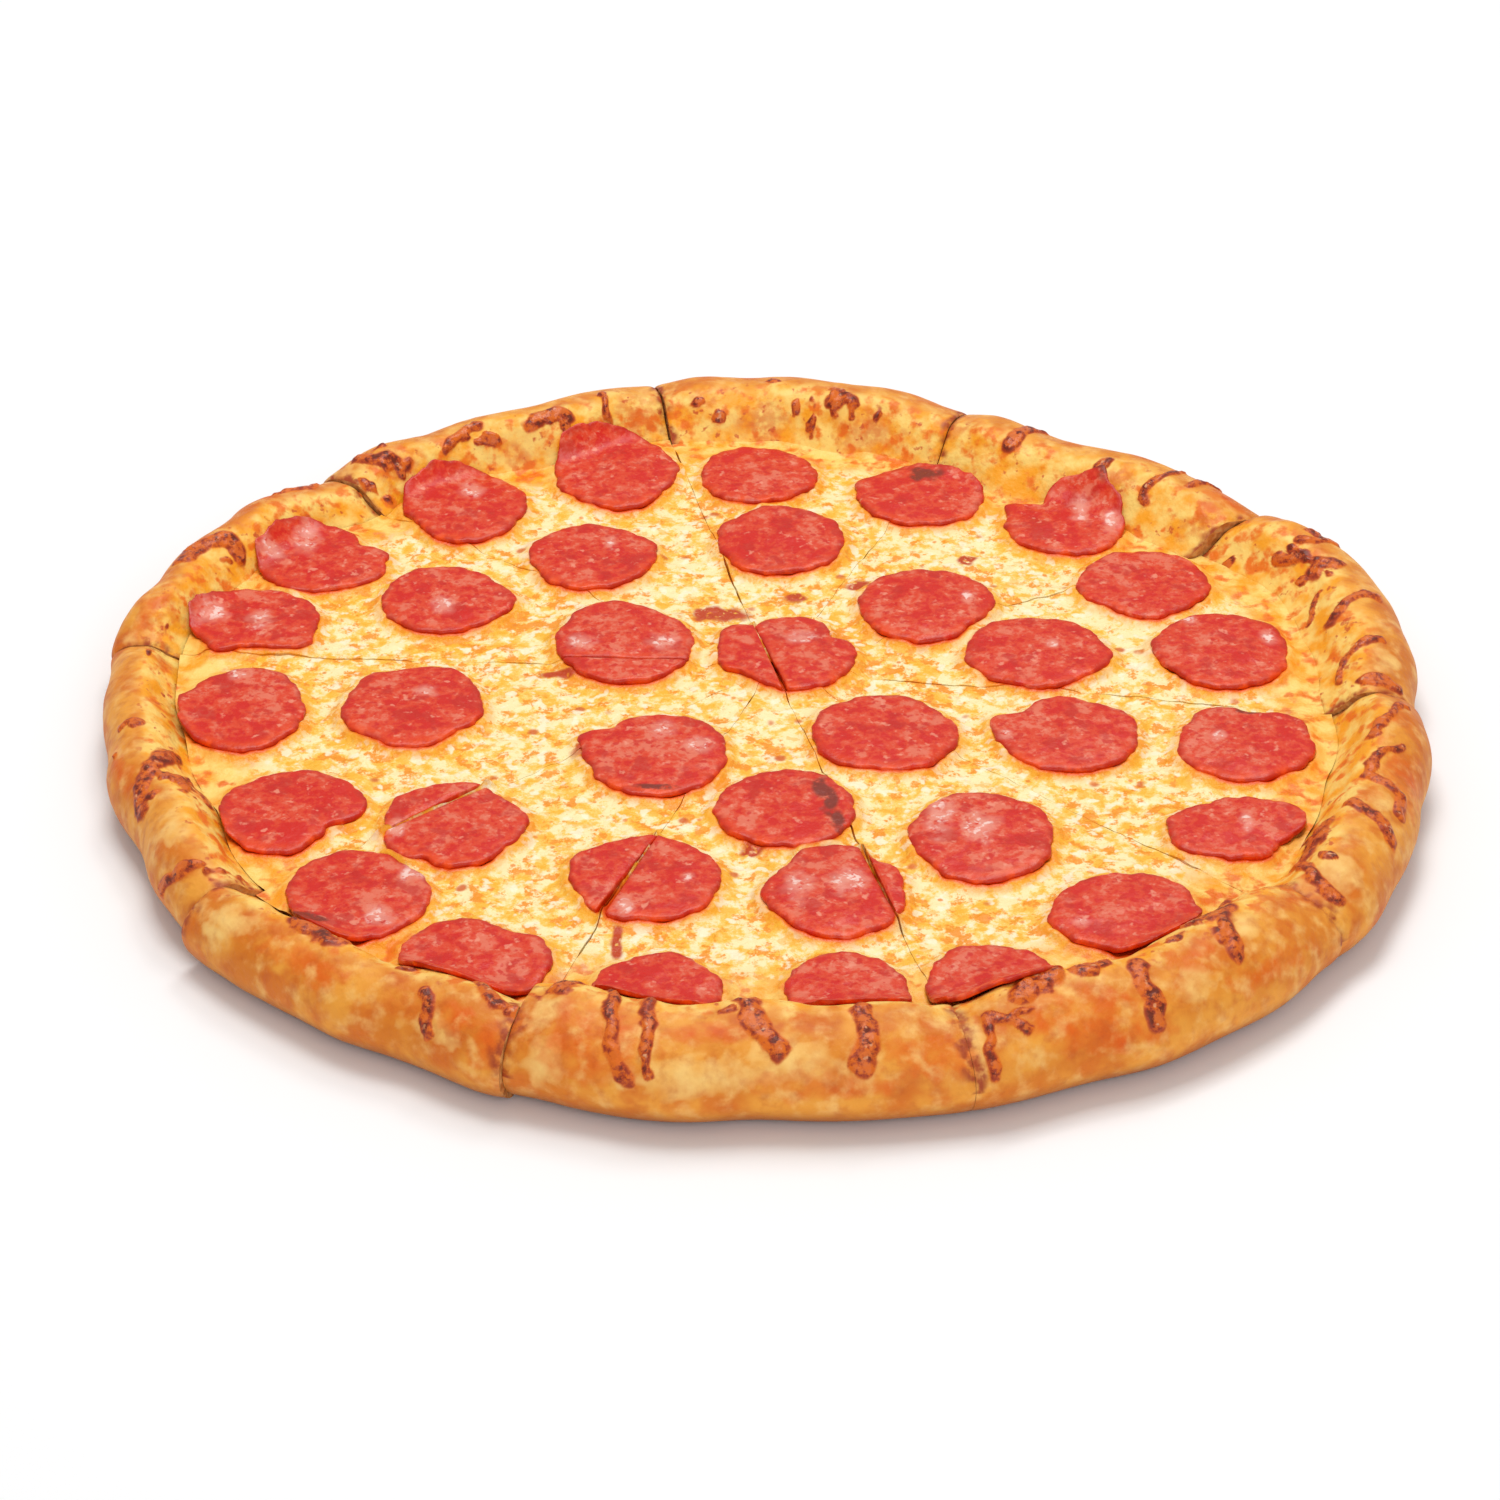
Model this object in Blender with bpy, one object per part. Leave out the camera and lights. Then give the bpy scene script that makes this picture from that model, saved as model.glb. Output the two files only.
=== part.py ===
"""A whole pepperoni pizza, cut in ten slices that lie together: dough, cheese and sliced sausage.

Sizes are in millimetres and degrees, and MM turns them into the scene's metres. +Z is up and the pizza lies
at 0. Each slice is laid out in polar form about the point where the cuts cross, which is not the middle of
the pizza.
"""

import math
from collections import namedtuple

import bmesh
import bpy
from mathutils import Vector

MM = 0.001

# The cuts
CUT_CENTRE = (3.0, 16.0)
KERF = 0.6
COLUMNS = 16

# The dough: a flat bed with a rolled rim, whose section is measured inwards from its outer edge
BED_HEIGHT = 9.0
WIDEST_HEIGHT = 10.0
BASE_ROUND = 16.0
PINCH_REACH = 9.0
BASE_SWEEP = 60.0
OUTER_ROWS = (-1, -0.5, 0, 0.27, 0.5, 0.75)
SLOPE_STEPS = 6

# The cheese, which lies on the bed and ends a third of the way up the rim's inner slope
CHEESE_TOP = 12.5
CHEESE_WAVE = 0.3
CHEESE_ROWS = (0.22, 0.45, 0.67, 0.85, 1.0)
CHEESE_EDGE_STEP = 4
CLEARANCE = 0.35

# The sausage slices, and how widely each bends where it leans on the rim
SAUSAGE_THICK = 1.8
SAUSAGE_CLEARANCE = 0.4
SAUSAGE_SIDES = 15
SAUSAGE_DOME = 0.5
MELD = 3.4
SETTLE_REACH = 5.0
SETTLE_BLEND = 1.0

# One slice of the pizza: the cut that starts it and how far the rim is pressed down there. Then its outer
# radius at its start, at its thirds and at its end, and at both ends the crest's distance in, the inner
# slope's width and the crest's height
Slice = namedtuple("Slice", "cut pinch radii crest_in slope crest")
SLICES = (
    Slice(-8.5, 2.5, (175, 175, 176, 167), (13, 15), (18, 24), (23, 24)),
    Slice(27.5, 3.0, (163, 158, 152, 153), (16, 18), (24, 22), (24, 24.5)),
    Slice(67.0, 2.0, (154, 158, 163, 165), (18, 19), (21, 20), (24.5, 24.5)),
    Slice(103.0, 2.0, (165, 160, 164, 168), (17, 14), (19, 18), (24, 23)),
    Slice(142.5, 2.5, (167, 174, 179, 181), (12, 10), (17, 16), (22, 21)),
    Slice(177.4, 5.0, (181, 181, 184, 189), (10, 11), (15, 17), (21, 21.5)),
    Slice(220.0, 2.5, (193, 194, 193, 197), (12, 14), (17, 19), (22, 23)),
    Slice(250.7, 2.0, (195, 196, 195, 196), (19, 20), (20, 20), (24.5, 25)),
    Slice(284.3, 3.0, (196, 196, 195, 192), (19, 17), (20, 20), (24.5, 24)),
    Slice(318.0, 2.5, (191, 187, 181, 177), (15, 13), (19, 18), (23.5, 23)),
)

# One sausage slice: its centre, its width and depth, then dents and bumps of its edge, each as its direction,
# size and spread
Disc = namedtuple("Disc", "name x y width depth edge", defaults=((),))
DISCS = (
    Disc("01", -43, 124, 36, 42, ((235, -2, 25),)),
    Disc("02", -1, 122.5, 34, 34),
    Disc("03", 5.5, 84, 36, 37, ((150, 1.5, 14),)),
    Disc("04", 46, 111, 37, 34, ((265, 1, 20), (155, 1.5, 12))),
    Disc("05", 87, 94.5, 34, 36, ((55, 2, 9), (85, -1, 15), (120, -5, 15), (148, 2.5, 10))),
    Disc("06", 107, 60, 36, 37, ((0, 1.5, 20), (240, -1.5, 22), (315, -1.5, 22))),
    Disc("07", 126, 24, 37, 39),
    Disc("08", 46, 47.5, 38, 38.5, ((320, -2.5, 28),)),
    Disc("09", 76, 22.5, 39, 36, ((180, 1.5, 22), (20, -1, 20))),
    Disc("10", 128, -25, 36, 36, ((110, 1.5, 18), (80, -1.5, 14), (38, 2.5, 18))),
    Disc("11", 81, -20, 38, 35, ((158, 3, 12), (132, -2, 14), (100, 1, 18), (30, 1.5, 16), (210, -1.5, 20))),
    Disc("12", 33, -19.5, 39, 38),
    Disc("13", 7, 22, 38, 39.5, ((36, -4, 12), (228, -3, 20), (145, 2, 14), (118, -2, 9))),
    Disc("14", -37, 27, 38, 41, ((115, 2.5, 28), (55, -2.5, 28))),
    Disc("15", -47.5, 74.5, 36, 37, ((310, -1.5, 22),)),
    Disc("16", -86, 103, 36, 42, ((225, -3.5, 26),)),
    Disc("17", -88, 50.5, 36, 35, ((0, 1.5, 16), (42, -1.5, 20))),
    Disc("18", -124.5, 73, 36, 36, ((8, 1.5, 14), (38, -5, 18), (325, 1.5, 22))),
    Disc("19", -140, 39, 36, 33, ((243, 2.5, 10), (270, -2, 14), (318, 3, 14))),
    Disc("20", -138.5, -8.5, 33, 41, ((165, 2, 18),)),
    Disc("21", -93, -6.5, 38, 41, ((75, 1.5, 14), (130, 1, 16), (312, -2, 24))),
    Disc("22", -28, -30, 39, 40, ((155, 2.5, 12), (130, -2, 14), (195, -2, 18))),
    Disc("23", -121, -58.5, 38, 39, ((330, -5.5, 20), (300, -5, 22))),
    Disc("24", -79, -64.5, 37, 39, ((48, -1.5, 12), (247, -2.5, 10))),
    Disc("25", -101.5, -96.5, 37, 41, ((52, -1.5, 20), (200, -1.5, 18))),
    Disc("26", -70, -124.5, 38, 34, ((60, -2.5, 26), (135, 1.5, 20), (300, 1.5, 22))),
    Disc("27", -29, -89, 38.5, 38.5, ((150, 1.5, 15), (215, -2, 22))),
    Disc("28", 6.5, -56, 36.5, 36),
    Disc("29", 19, -94, 36, 42, ((52, -3.5, 14), (138, -2.5, 22))),
    Disc("30", 57, -69.5, 37, 40.5),
    Disc("31", 122, -64.5, 35, 28, ((25, 2.5, 18), (130, -2, 24), (330, -2.5, 18), (215, 2, 20))),
    Disc("32", 91, -103.5, 37, 34, ((130, -2, 24), (190, 1, 20), (40, 1.5, 18))),
    Disc("33", 57, -134, 33, 32, ((232, 4, 22),)),
    Disc("34", 21, -137, 30, 30, ((330, 2, 20),)),
    Disc("35", -25, -138, 32, 30),
)

# A sausage slice that the cutter went through: the cut, the gap between its two parts, and how far the
# second turned
Parting = namedtuple("Parting", "disc cut gap turn")
PARTINGS = (
    Parting("13", 103.0, 1.0, 2.0),
    Parting("14", 177.4, 0.8, 0.0),
    Parting("24", 220.0, 1.2, 3.0),
    Parting("27", 250.7, 1.3, -4.0),
    Parting("29", 284.3, 1.0, 2.0),
)

# Cheese that ran over the rim and browned there, as ridges: each has a width and a path, whose points are an
# angle and a place around the rim
STRAND_RISE = 1.2
STRAND_SIDES_DEEP = 0.7
STRAND_DEEP = 1.8
STRAND_END = 0.4
Strand = namedtuple("Strand", "width path")
STRANDS = (
    Strand(3.0, ((-0.2, 0.84), (-0.4, 1.12), (-1.8, 1.3), (-5.0, 1.42))),
    Strand(3.4, ((-7.0, 1.1), (-6.6, 0.86), (-7.0, 0.6))),
    Strand(3.5, ((5.1, 1.36), (6.8, 1.18), (8.4, 0.96), (8.2, 0.68))),
    Strand(2.0, ((11.4, 1.3), (10.8, 1.45), (8.2, 1.56))),
    Strand(5.0, ((14.6, 1.26), (15.4, 1.06), (14.6, 0.95))),
    Strand(3.5, ((19.2, 1.35), (18.0, 1.32), (17.4, 1.2))),
    Strand(3.0, ((19.4, 1.04), (19.1, 0.82), (19.4, 0.55))),
    Strand(3.0, ((34.8, 0.9), (35.4, 0.62), (34.6, 0.4))),
    Strand(2.4, ((37.4, 1.34), (38.1, 1.14), (38.4, 0.9), (38.6, 0.62))),
    Strand(3.5, ((45.1, 1.3), (45.4, 1.1))),
    Strand(4.0, ((57.4, 1.16), (57.6, 0.9), (57.4, 0.6))),
    Strand(3.5, ((82.8, 1.2), (81.6, 1.08), (80.2, 1.18))),
    Strand(2.4, ((110.1, 0.94), (110.1, 1.2), (110.4, 1.36))),
    Strand(4.5, ((120.4, 1.2), (117.8, 1.05), (115.8, 1.2))),
    Strand(3.0, ((130.4, 1.22), (127.8, 1.1), (125.6, 1.02))),
    Strand(4.0, ((139.2, 0.7), (139.2, 1.02), (137.4, 1.1), (136.2, 1.28))),
    Strand(3.0, ((149.0, 0.7), (146.8, 0.72), (144.8, 0.66))),
    Strand(5.0, ((164.6, 0.86), (161.6, 0.9), (159.8, 1.06), (160.6, 1.4))),
    Strand(3.0, ((193.5, 0.68), (193.2, 0.82), (194.0, 1.0))),
    Strand(5.0, ((206.2, 0.4), (203.0, 0.74), (200.2, 1.14), (198.6, 1.4))),
    Strand(3.0, ((215.2, 0.15), (216.0, 0.44), (217.3, 0.8))),
    Strand(5.0, ((229.0, 1.15), (231.5, 1.05), (233.5, 1.15))),
    Strand(3.0, ((243.0, 0.76), (244.2, 0.62), (244.0, 0.46), (244.6, 0.3))),
    Strand(3.5, ((246.5, 1.3), (248.0, 1.05), (249.3, 0.95))),
    Strand(4.0, ((253.0, 1.0), (253.4, 1.2), (254.4, 1.35))),
    Strand(3.0, ((257.0, 1.2), (258.2, 0.7), (258.8, 0.35), (259.8, 0.24))),
    Strand(2.6, ((260.3, 1.1), (260.8, 0.74), (261.0, 0.5), (261.2, 0.3))),
    Strand(5.0, ((267.4, 1.2), (268.8, 0.8), (269.8, 0.64), (270.6, 0.52))),
    Strand(4.2, ((277.3, 1.1), (277.0, 0.74), (276.5, 0.42))),
    Strand(2.2, ((286.2, 0.84), (285.9, 0.6), (285.7, 0.2))),
    Strand(2.4, ((286.6, 0.8), (287.7, 0.7), (288.8, 0.56))),
    Strand(5.5, ((289.4, 0.9), (291.0, 0.98), (292.8, 1.1))),
    Strand(4.0, ((295.0, 1.05), (296.0, 1.15), (297.2, 1.2))),
    Strand(4.5, ((299.3, 0.98), (298.8, 0.64), (298.4, 0.34))),
    Strand(5.5, ((309.2, 1.48), (311.2, 1.43), (313.2, 1.48))),
    Strand(4.5, ((311.0, 1.3), (309.0, 1.05), (307.0, 0.62))),
    Strand(3.2, ((322.8, 1.5), (321.0, 1.2), (319.6, 0.85), (319.6, 0.6))),
    Strand(6.0, ((328.0, 1.36), (326.4, 1.46), (323.8, 1.42))),
    Strand(4.2, ((331.1, 1.14), (330.6, 0.84), (330.2, 0.62), (329.2, 0.46))),
    Strand(3.0, ((336.0, 1.06), (335.5, 0.74), (334.6, 0.52), (332.8, 0.5))),
    Strand(2.4, ((341.6, 0.72), (339.8, 0.98), (337.6, 1.05), (336.0, 1.06))),
    Strand(2.6, ((348.6, 0.72), (345.2, 1.04), (342.0, 1.14))),
)

DOUGH_COLOUR = (0.75, 0.42, 0.13)
CHEESE_COLOUR = (0.95, 0.74, 0.33)
SAUSAGE_COLOUR = (0.62, 0.06, 0.03)


def sin_deg(angle):
    return math.sin(math.radians(angle))


def cos_deg(angle):
    return math.cos(math.radians(angle))


def ease(value):
    """0 below 0, 1 above 1, and a half cosine between."""
    return (1 - math.cos(math.pi * min(max(value, 0.0), 1.0))) / 2


def apart(first, second):
    """The signed angle from second to first, between -180 and 180."""
    return (first - second + 180) % 360 - 180


def slice_end(index):
    """The angle of the cut that ends a slice, counted on from the one that starts it."""
    following = SLICES[(index + 1) % len(SLICES)].cut
    return SLICES[index].cut + (following - SLICES[index].cut) % 360


def slice_at(angle):
    """The index of the slice that holds a direction from the cuts' centre."""
    for index, piece in enumerate(SLICES):
        if (angle - piece.cut) % 360 < slice_end(index) - piece.cut:
            return index
    return 0


def part_way(index, angle):
    """How far round its slice an angle lies: 0 at the cut that starts it, 1 at the one that ends it."""
    return (angle - SLICES[index].cut) / (slice_end(index) - SLICES[index].cut)


def eased_between(ends, along):
    return ends[0] + (ends[1] - ends[0]) * ease(along)


def outer_radius(index, angle):
    """The outline's distance from the cuts' centre: the slice's four radii, eased from one to the next."""
    along = 3 * part_way(index, angle)
    step = min(max(int(along), 0), 2)
    ripple = 0.6 * sin_deg(17 * angle) + 0.4 * sin_deg(29 * angle + 70)
    return eased_between(SLICES[index].radii[step : step + 2], along - step) + ripple


def crest_in(index, angle):
    """How far in from the outer edge the rim is highest."""
    return eased_between(SLICES[index].crest_in, part_way(index, angle))


def slope_width(index, angle):
    """How far the rim's inner slope runs from the crest down to the bed."""
    ripple = 1.2 * sin_deg(7 * angle + 100) + 0.8 * sin_deg(13 * angle + 30)
    return eased_between(SLICES[index].slope, part_way(index, angle)) + ripple


def crest_height(index, angle):
    """The rim's height: slow waves from the rolling by hand, pressed down at each cut."""
    height = eased_between(SLICES[index].crest, part_way(index, angle))
    height += 0.7 * sin_deg(8 * angle + 200) + 0.5 * sin_deg(19 * angle)
    for piece in SLICES:
        away = math.radians(apart(angle, piece.cut)) * piece.radii[0]
        height -= piece.pinch * math.exp(-((away / PINCH_REACH) ** 2))
    return height


def rim_point(index, angle, around):
    """A point of the rim's section, as its distance in from the outer edge and its height.

    Around is -1 at the base's edge, 0 where the rim is widest, 1 on its crest and 2 at the foot of the inner
    slope. The outer side is two parts of ellipses that meet at the widest height. The inner slope is half a
    cosine.
    """
    crest = crest_height(index, angle)
    inset = crest_in(index, angle)
    if around < 0:
        turn = BASE_SWEEP * around
        return BASE_ROUND * (1 - cos_deg(turn)), WIDEST_HEIGHT * (1 + sin_deg(turn) / sin_deg(BASE_SWEEP))
    if around < 1:
        turn = 90 * around
        return inset * (1 - cos_deg(turn)), WIDEST_HEIGHT + (crest - WIDEST_HEIGHT) * sin_deg(turn)
    down = around - 1
    return inset + slope_width(index, angle) * down, crest + (BED_HEIGHT - crest) * ease(down)


def slope_rows(first_step):
    """The inner slope's rows from one of its steps down to its foot."""
    return [1 + step / SLOPE_STEPS for step in range(first_step, SLOPE_STEPS + 1)]


def cheese_height(x, y):
    """The cheese's upper surface away from the rim: two crossing sets of long low waves."""
    waves = math.sin(x / 13 + 0.7) * math.cos(y / 15) + math.sin((x + y) / 19 + 2)
    return CHEESE_TOP + CHEESE_WAVE * waves


def soft_max(first, second, reach):
    """The larger of two heights, rounded up by a quarter of the reach or less where they are nearly equal."""
    return max(first, second) + max(reach - abs(first - second), 0) ** 2 / (4 * reach)


def top_height(x, y):
    """The highest surface of dough or cheese at a point."""
    from_centre = (x - CUT_CENTRE[0], y - CUT_CENTRE[1])
    angle = math.degrees(math.atan2(from_centre[1], from_centre[0]))
    index = slice_at(angle)
    angle = SLICES[index].cut + (angle - SLICES[index].cut) % 360
    inwards = outer_radius(index, angle) - math.hypot(*from_centre)
    inset = crest_in(index, angle)
    crest = crest_height(index, angle)
    if inwards < inset:
        lean = math.acos(min(max(1 - inwards / inset, 0.0), 1.0))
        return WIDEST_HEIGHT + (crest - WIDEST_HEIGHT) * math.sin(lean)
    dough = crest + (BED_HEIGHT - crest) * ease((inwards - inset) / slope_width(index, angle))
    return soft_max(dough, cheese_height(x, y), MELD) + CLEARANCE


def settled_height(x, y):
    """The height at which something soft lies: the mean of the surface round a point, but never below it."""
    heights = [top_height(x, y)]
    for reach, step in ((SETTLE_REACH, 30), (SETTLE_REACH / 2, 60)):
        for turn in range(0, 360, step):
            heights.append(top_height(x + reach * cos_deg(turn), y + reach * sin_deg(turn)))
    return soft_max(sum(heights) / len(heights), heights[0], SETTLE_BLEND)


def food_material(name, colour, roughness):
    material = bpy.data.materials.new(name)
    material.diffuse_color = (*colour, 1)
    material.use_nodes = True
    shader = material.node_tree.nodes["Principled BSDF"]
    shader.inputs["Base Color"].default_value = (*colour, 1)
    shader.inputs["Roughness"].default_value = roughness
    return material


def add_solid(name, points, faces, material):
    """A closed mesh from points in millimetres, with its faces turned outwards."""
    shape = bmesh.new()
    corners = [shape.verts.new(Vector(point) * MM) for point in points]
    for face in faces:
        shape.faces.new([corners[corner] for corner in face])
    bmesh.ops.recalc_face_normals(shape, faces=shape.faces)
    mesh = bpy.data.meshes.new(name)
    shape.to_mesh(mesh)
    shape.free()
    mesh.shade_smooth()
    mesh.set_sharp_from_angle(angle=math.radians(50))
    mesh.materials.append(material)
    solid = bpy.data.objects.new(name, mesh)
    bpy.context.scene.collection.objects.link(solid)
    return solid


def rim_spot(index, angle, around):
    """A point on the rim, in space."""
    inwards, height = rim_point(index, angle, around)
    distance = outer_radius(index, angle) - inwards
    across, along = distance * cos_deg(angle), distance * sin_deg(angle)
    return Vector((CUT_CENTRE[0] + across, CUT_CENTRE[1] + along, height))


def add_strand(strand, collection, material):
    """A ridge along a path on the rim: its top is above the dough, and its sides and its keel are in it."""
    index = slice_at(strand.path[0][0])
    spots = [rim_spot(index, angle, around) for angle, around in strand.path]
    points = []
    for number, (angle, around) in enumerate(strand.path):
        ahead = spots[min(number + 1, len(spots) - 1)] - spots[max(number - 1, 0)]
        along_rim = rim_spot(index, angle + 0.5, around) - rim_spot(index, angle - 0.5, around)
        over_rim = rim_spot(index, angle, around + 0.05) - rim_spot(index, angle, around - 0.05)
        outwards = along_rim.cross(over_rim).normalized()
        side = outwards.cross(ahead).normalized()
        share = STRAND_END if number in (0, len(spots) - 1) else 1
        reach = share * strand.width / 2 * side
        points += [
            spots[number] + reach - STRAND_SIDES_DEEP * outwards,
            spots[number] + share * STRAND_RISE * outwards,
            spots[number] - reach - STRAND_SIDES_DEEP * outwards,
            spots[number] - STRAND_DEEP * outwards,
        ]
    rings = [[*range(first, first + 4), first] for first in range(0, len(points), 4)]
    faces = [face for first, second in zip(rings, rings[1:]) for face in between(first, second)]
    faces += [tuple(rings[0][:4]), tuple(rings[-1][:4])]
    ridge = add_solid("strand", points, faces, material)
    bpy.context.scene.collection.objects.unlink(ridge)
    collection.objects.link(ridge)


def join_strands(dough, index, material):
    """Joins a slice's ridges to its dough."""
    collection = bpy.data.collections.new("strands")
    bpy.context.scene.collection.children.link(collection)
    for strand in STRANDS:
        if slice_at(strand.path[0][0]) == index:
            add_strand(strand, collection, material)
    union = dough.modifiers.new("strands", "BOOLEAN")
    union.operation = "UNION"
    union.solver = "EXACT"
    union.operand_type = "COLLECTION"
    union.collection = collection
    with bpy.context.temp_override(object=dough):
        bpy.ops.object.modifier_apply(modifier=union.name)
    for ridge in list(collection.objects):
        bpy.data.objects.remove(ridge)
    bpy.data.collections.remove(collection)


class Wedge:
    """A slice's plan: its tip stands back from both cuts by half the kerf, and columns fan out from it."""

    def __init__(self, index):
        self.index = index
        self.start = SLICES[index].cut
        self.sweep = slice_end(index) - self.start
        self.middle = self.start + self.sweep / 2
        self.back = KERF / 2 / sin_deg(self.sweep / 2)
        self.tip = (
            CUT_CENTRE[0] + self.back * cos_deg(self.middle),
            CUT_CENTRE[1] + self.back * sin_deg(self.middle),
        )
        self.angles = [self.start + self.sweep * column / COLUMNS for column in range(COLUMNS + 1)]

    def reach(self, angle):
        """The outer edge's distance from the tip."""
        return outer_radius(self.index, angle) - self.back * cos_deg(angle - self.middle)

    def point(self, angle, distance, height):
        return (
            self.tip[0] + distance * cos_deg(angle),
            self.tip[1] + distance * sin_deg(angle),
            height,
        )


def between(first, second):
    """The quads that join two rows of equally many corners."""
    return [(a, b, d, c) for a, b, c, d in zip(first, first[1:], second, second[1:])]


def add_dough(index, material):
    """A slice's dough: the rim's section from cut to cut, with a flat bed, a flat base and two cut faces."""
    wedge = Wedge(index)
    points = [wedge.point(wedge.middle, 0, 0), wedge.point(wedge.middle, 0, BED_HEIGHT)]
    columns = []
    for angle in wedge.angles:
        reach = wedge.reach(angle)
        profile = [rim_point(index, angle, around) for around in (*OUTER_ROWS, *slope_rows(0))]
        columns.append(list(range(len(points), len(points) + len(profile))))
        points += [wedge.point(angle, reach - inwards, height) for inwards, height in profile]
    rows = list(zip(*columns))
    faces = [face for first, second in zip(rows, rows[1:]) for face in between(first, second)]
    faces.append((0, *rows[0]))
    faces.append((1, *rows[-1]))
    faces += [(0, 1, *reversed(columns[0])), (0, 1, *reversed(columns[-1]))]
    return add_solid(f"dough_{index + 1:02d}", points, faces, material)


def add_cheese(index, material):
    """A slice's cheese: waved above, and below a hair's gap above the bed and the foot of the rim."""
    wedge = Wedge(index)
    tip_height = cheese_height(*wedge.tip)
    points = [
        wedge.point(wedge.middle, 0, BED_HEIGHT + CLEARANCE),
        wedge.point(wedge.middle, 0, tip_height),
    ]
    upper, lower = [], []
    for angle in wedge.angles:
        reach = wedge.reach(angle)
        profile = [rim_point(index, angle, around) for around in slope_rows(CHEESE_EDGE_STEP)]
        bed = reach - profile[-1][0]
        lower.append(list(range(len(points), len(points) + len(profile))))
        points += [wedge.point(angle, reach - inwards, height + CLEARANCE) for inwards, height in profile]
        upper.append([lower[-1][0]] + list(range(len(points), len(points) + len(CHEESE_ROWS))))
        for part in reversed(CHEESE_ROWS):
            x, y, _ = wedge.point(angle, bed * part, 0)
            points.append((x, y, cheese_height(x, y)))
    top_rows = list(zip(*upper))
    low_rows = list(zip(*lower))
    faces = [face for rows in (top_rows, low_rows) for a, b in zip(rows, rows[1:]) for face in between(a, b)]
    faces += [(1, a, b) for a, b in zip(top_rows[-1], top_rows[-1][1:])]
    faces.append((0, *low_rows[-1]))
    for side in (0, -1):
        faces.append((0, 1, *reversed(upper[side]), *lower[side][1:]))
    return add_solid(f"cheese_{index + 1:02d}", points, faces, material)


def disc_radius(disc, direction):
    """How far a sausage slice's edge is from its centre: an ellipse, uneven waves, then dents and bumps."""
    half = (disc.width / 2, disc.depth / 2)
    radius = half[0] * half[1] / math.hypot(half[1] * cos_deg(direction), half[0] * sin_deg(direction))
    turn = 47 * int(disc.name)
    radius += 0.35 * sin_deg(3 * direction + turn) + 0.3 * sin_deg(5 * direction + 2 * turn)
    for towards, size, spread in disc.edge:
        radius += size * math.exp(-((apart(direction, towards) / spread) ** 2))
    return radius


def disc_outline(disc):
    """A sausage slice's outline as points."""
    directions = [360 * side / SAUSAGE_SIDES + 7 for side in range(SAUSAGE_SIDES)]
    return [
        (
            disc.x + disc_radius(disc, direction) * cos_deg(direction),
            disc.y + disc_radius(disc, direction) * sin_deg(direction),
        )
        for direction in directions
    ]


def one_side(outline, parting, side):
    """The part of an outline on one side of a cut, half the gap back from it."""
    normal = (-side * sin_deg(parting.cut), side * cos_deg(parting.cut))
    kept = []
    for here, there in zip(outline, outline[1:] + outline[:1]):
        depths = [
            (x - CUT_CENTRE[0]) * normal[0] + (y - CUT_CENTRE[1]) * normal[1] - parting.gap / 2
            for x, y in (here, there)
        ]
        if depths[0] > 0:
            kept.append(here)
        if depths[0] * depths[1] < 0:
            share = depths[0] / (depths[0] - depths[1])
            kept.append((here[0] + share * (there[0] - here[0]), here[1] + share * (there[1] - here[1])))
    return kept


def middle_of(outline):
    return tuple(sum(values) / len(outline) for values in zip(*outline))


def turned(outline, angle):
    """An outline turned about its own middle."""
    x, y = middle_of(outline)
    return [
        (
            x + (across - x) * cos_deg(angle) - (along - y) * sin_deg(angle),
            y + (across - x) * sin_deg(angle) + (along - y) * cos_deg(angle),
        )
        for across, along in outline
    ]


def add_sausage(name, outline, material):
    """A thin slice whose underside follows what it lies on and whose top is a little domed."""
    sides = len(outline)
    x, y = middle_of(outline)
    floor = settled_height(x, y) + SAUSAGE_CLEARANCE
    points = [(x, y, floor), (x, y, floor + SAUSAGE_THICK + SAUSAGE_DOME)]
    rings = []
    domed = SAUSAGE_THICK + 0.8 * SAUSAGE_DOME
    for part, rise in ((0.55, 0.0), (1.0, 0.0), (0.96, SAUSAGE_THICK), (0.55, domed)):
        rings.append(list(range(len(points), len(points) + sides)))
        for across, along in outline:
            spot = (x + part * (across - x), y + part * (along - y))
            points.append((*spot, settled_height(*spot) + SAUSAGE_CLEARANCE + rise))
    rings = [ring + ring[:1] for ring in rings]
    faces = [face for first, second in zip(rings, rings[1:]) for face in between(first, second)]
    faces += [(0, a, b) for a, b in zip(rings[0], rings[0][1:])]
    faces += [(1, a, b) for a, b in zip(rings[-1], rings[-1][1:])]
    return add_solid(name, points, faces, material)


for leftover in list(bpy.data.objects):
    bpy.data.objects.remove(leftover)

dough_material = food_material("baked_dough", DOUGH_COLOUR, 0.55)
cheese_material = food_material("melted_cheese", CHEESE_COLOUR, 0.4)
sausage_material = food_material("sausage", SAUSAGE_COLOUR, 0.35)

for number in range(len(SLICES)):
    join_strands(add_dough(number, dough_material), number, dough_material)
    add_cheese(number, cheese_material)

parted = {parting.disc: parting for parting in PARTINGS}
for disc in DISCS:
    if disc.name not in parted:
        add_sausage(f"pepperoni_{disc.name}", disc_outline(disc), sausage_material)
        continue
    parting = parted[disc.name]
    first = one_side(disc_outline(disc), parting, 1)
    second = turned(one_side(disc_outline(disc), parting, -1), parting.turn)
    add_sausage(f"pepperoni_{disc.name}a", first, sausage_material)
    add_sausage(f"pepperoni_{disc.name}b", second, sausage_material)
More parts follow.
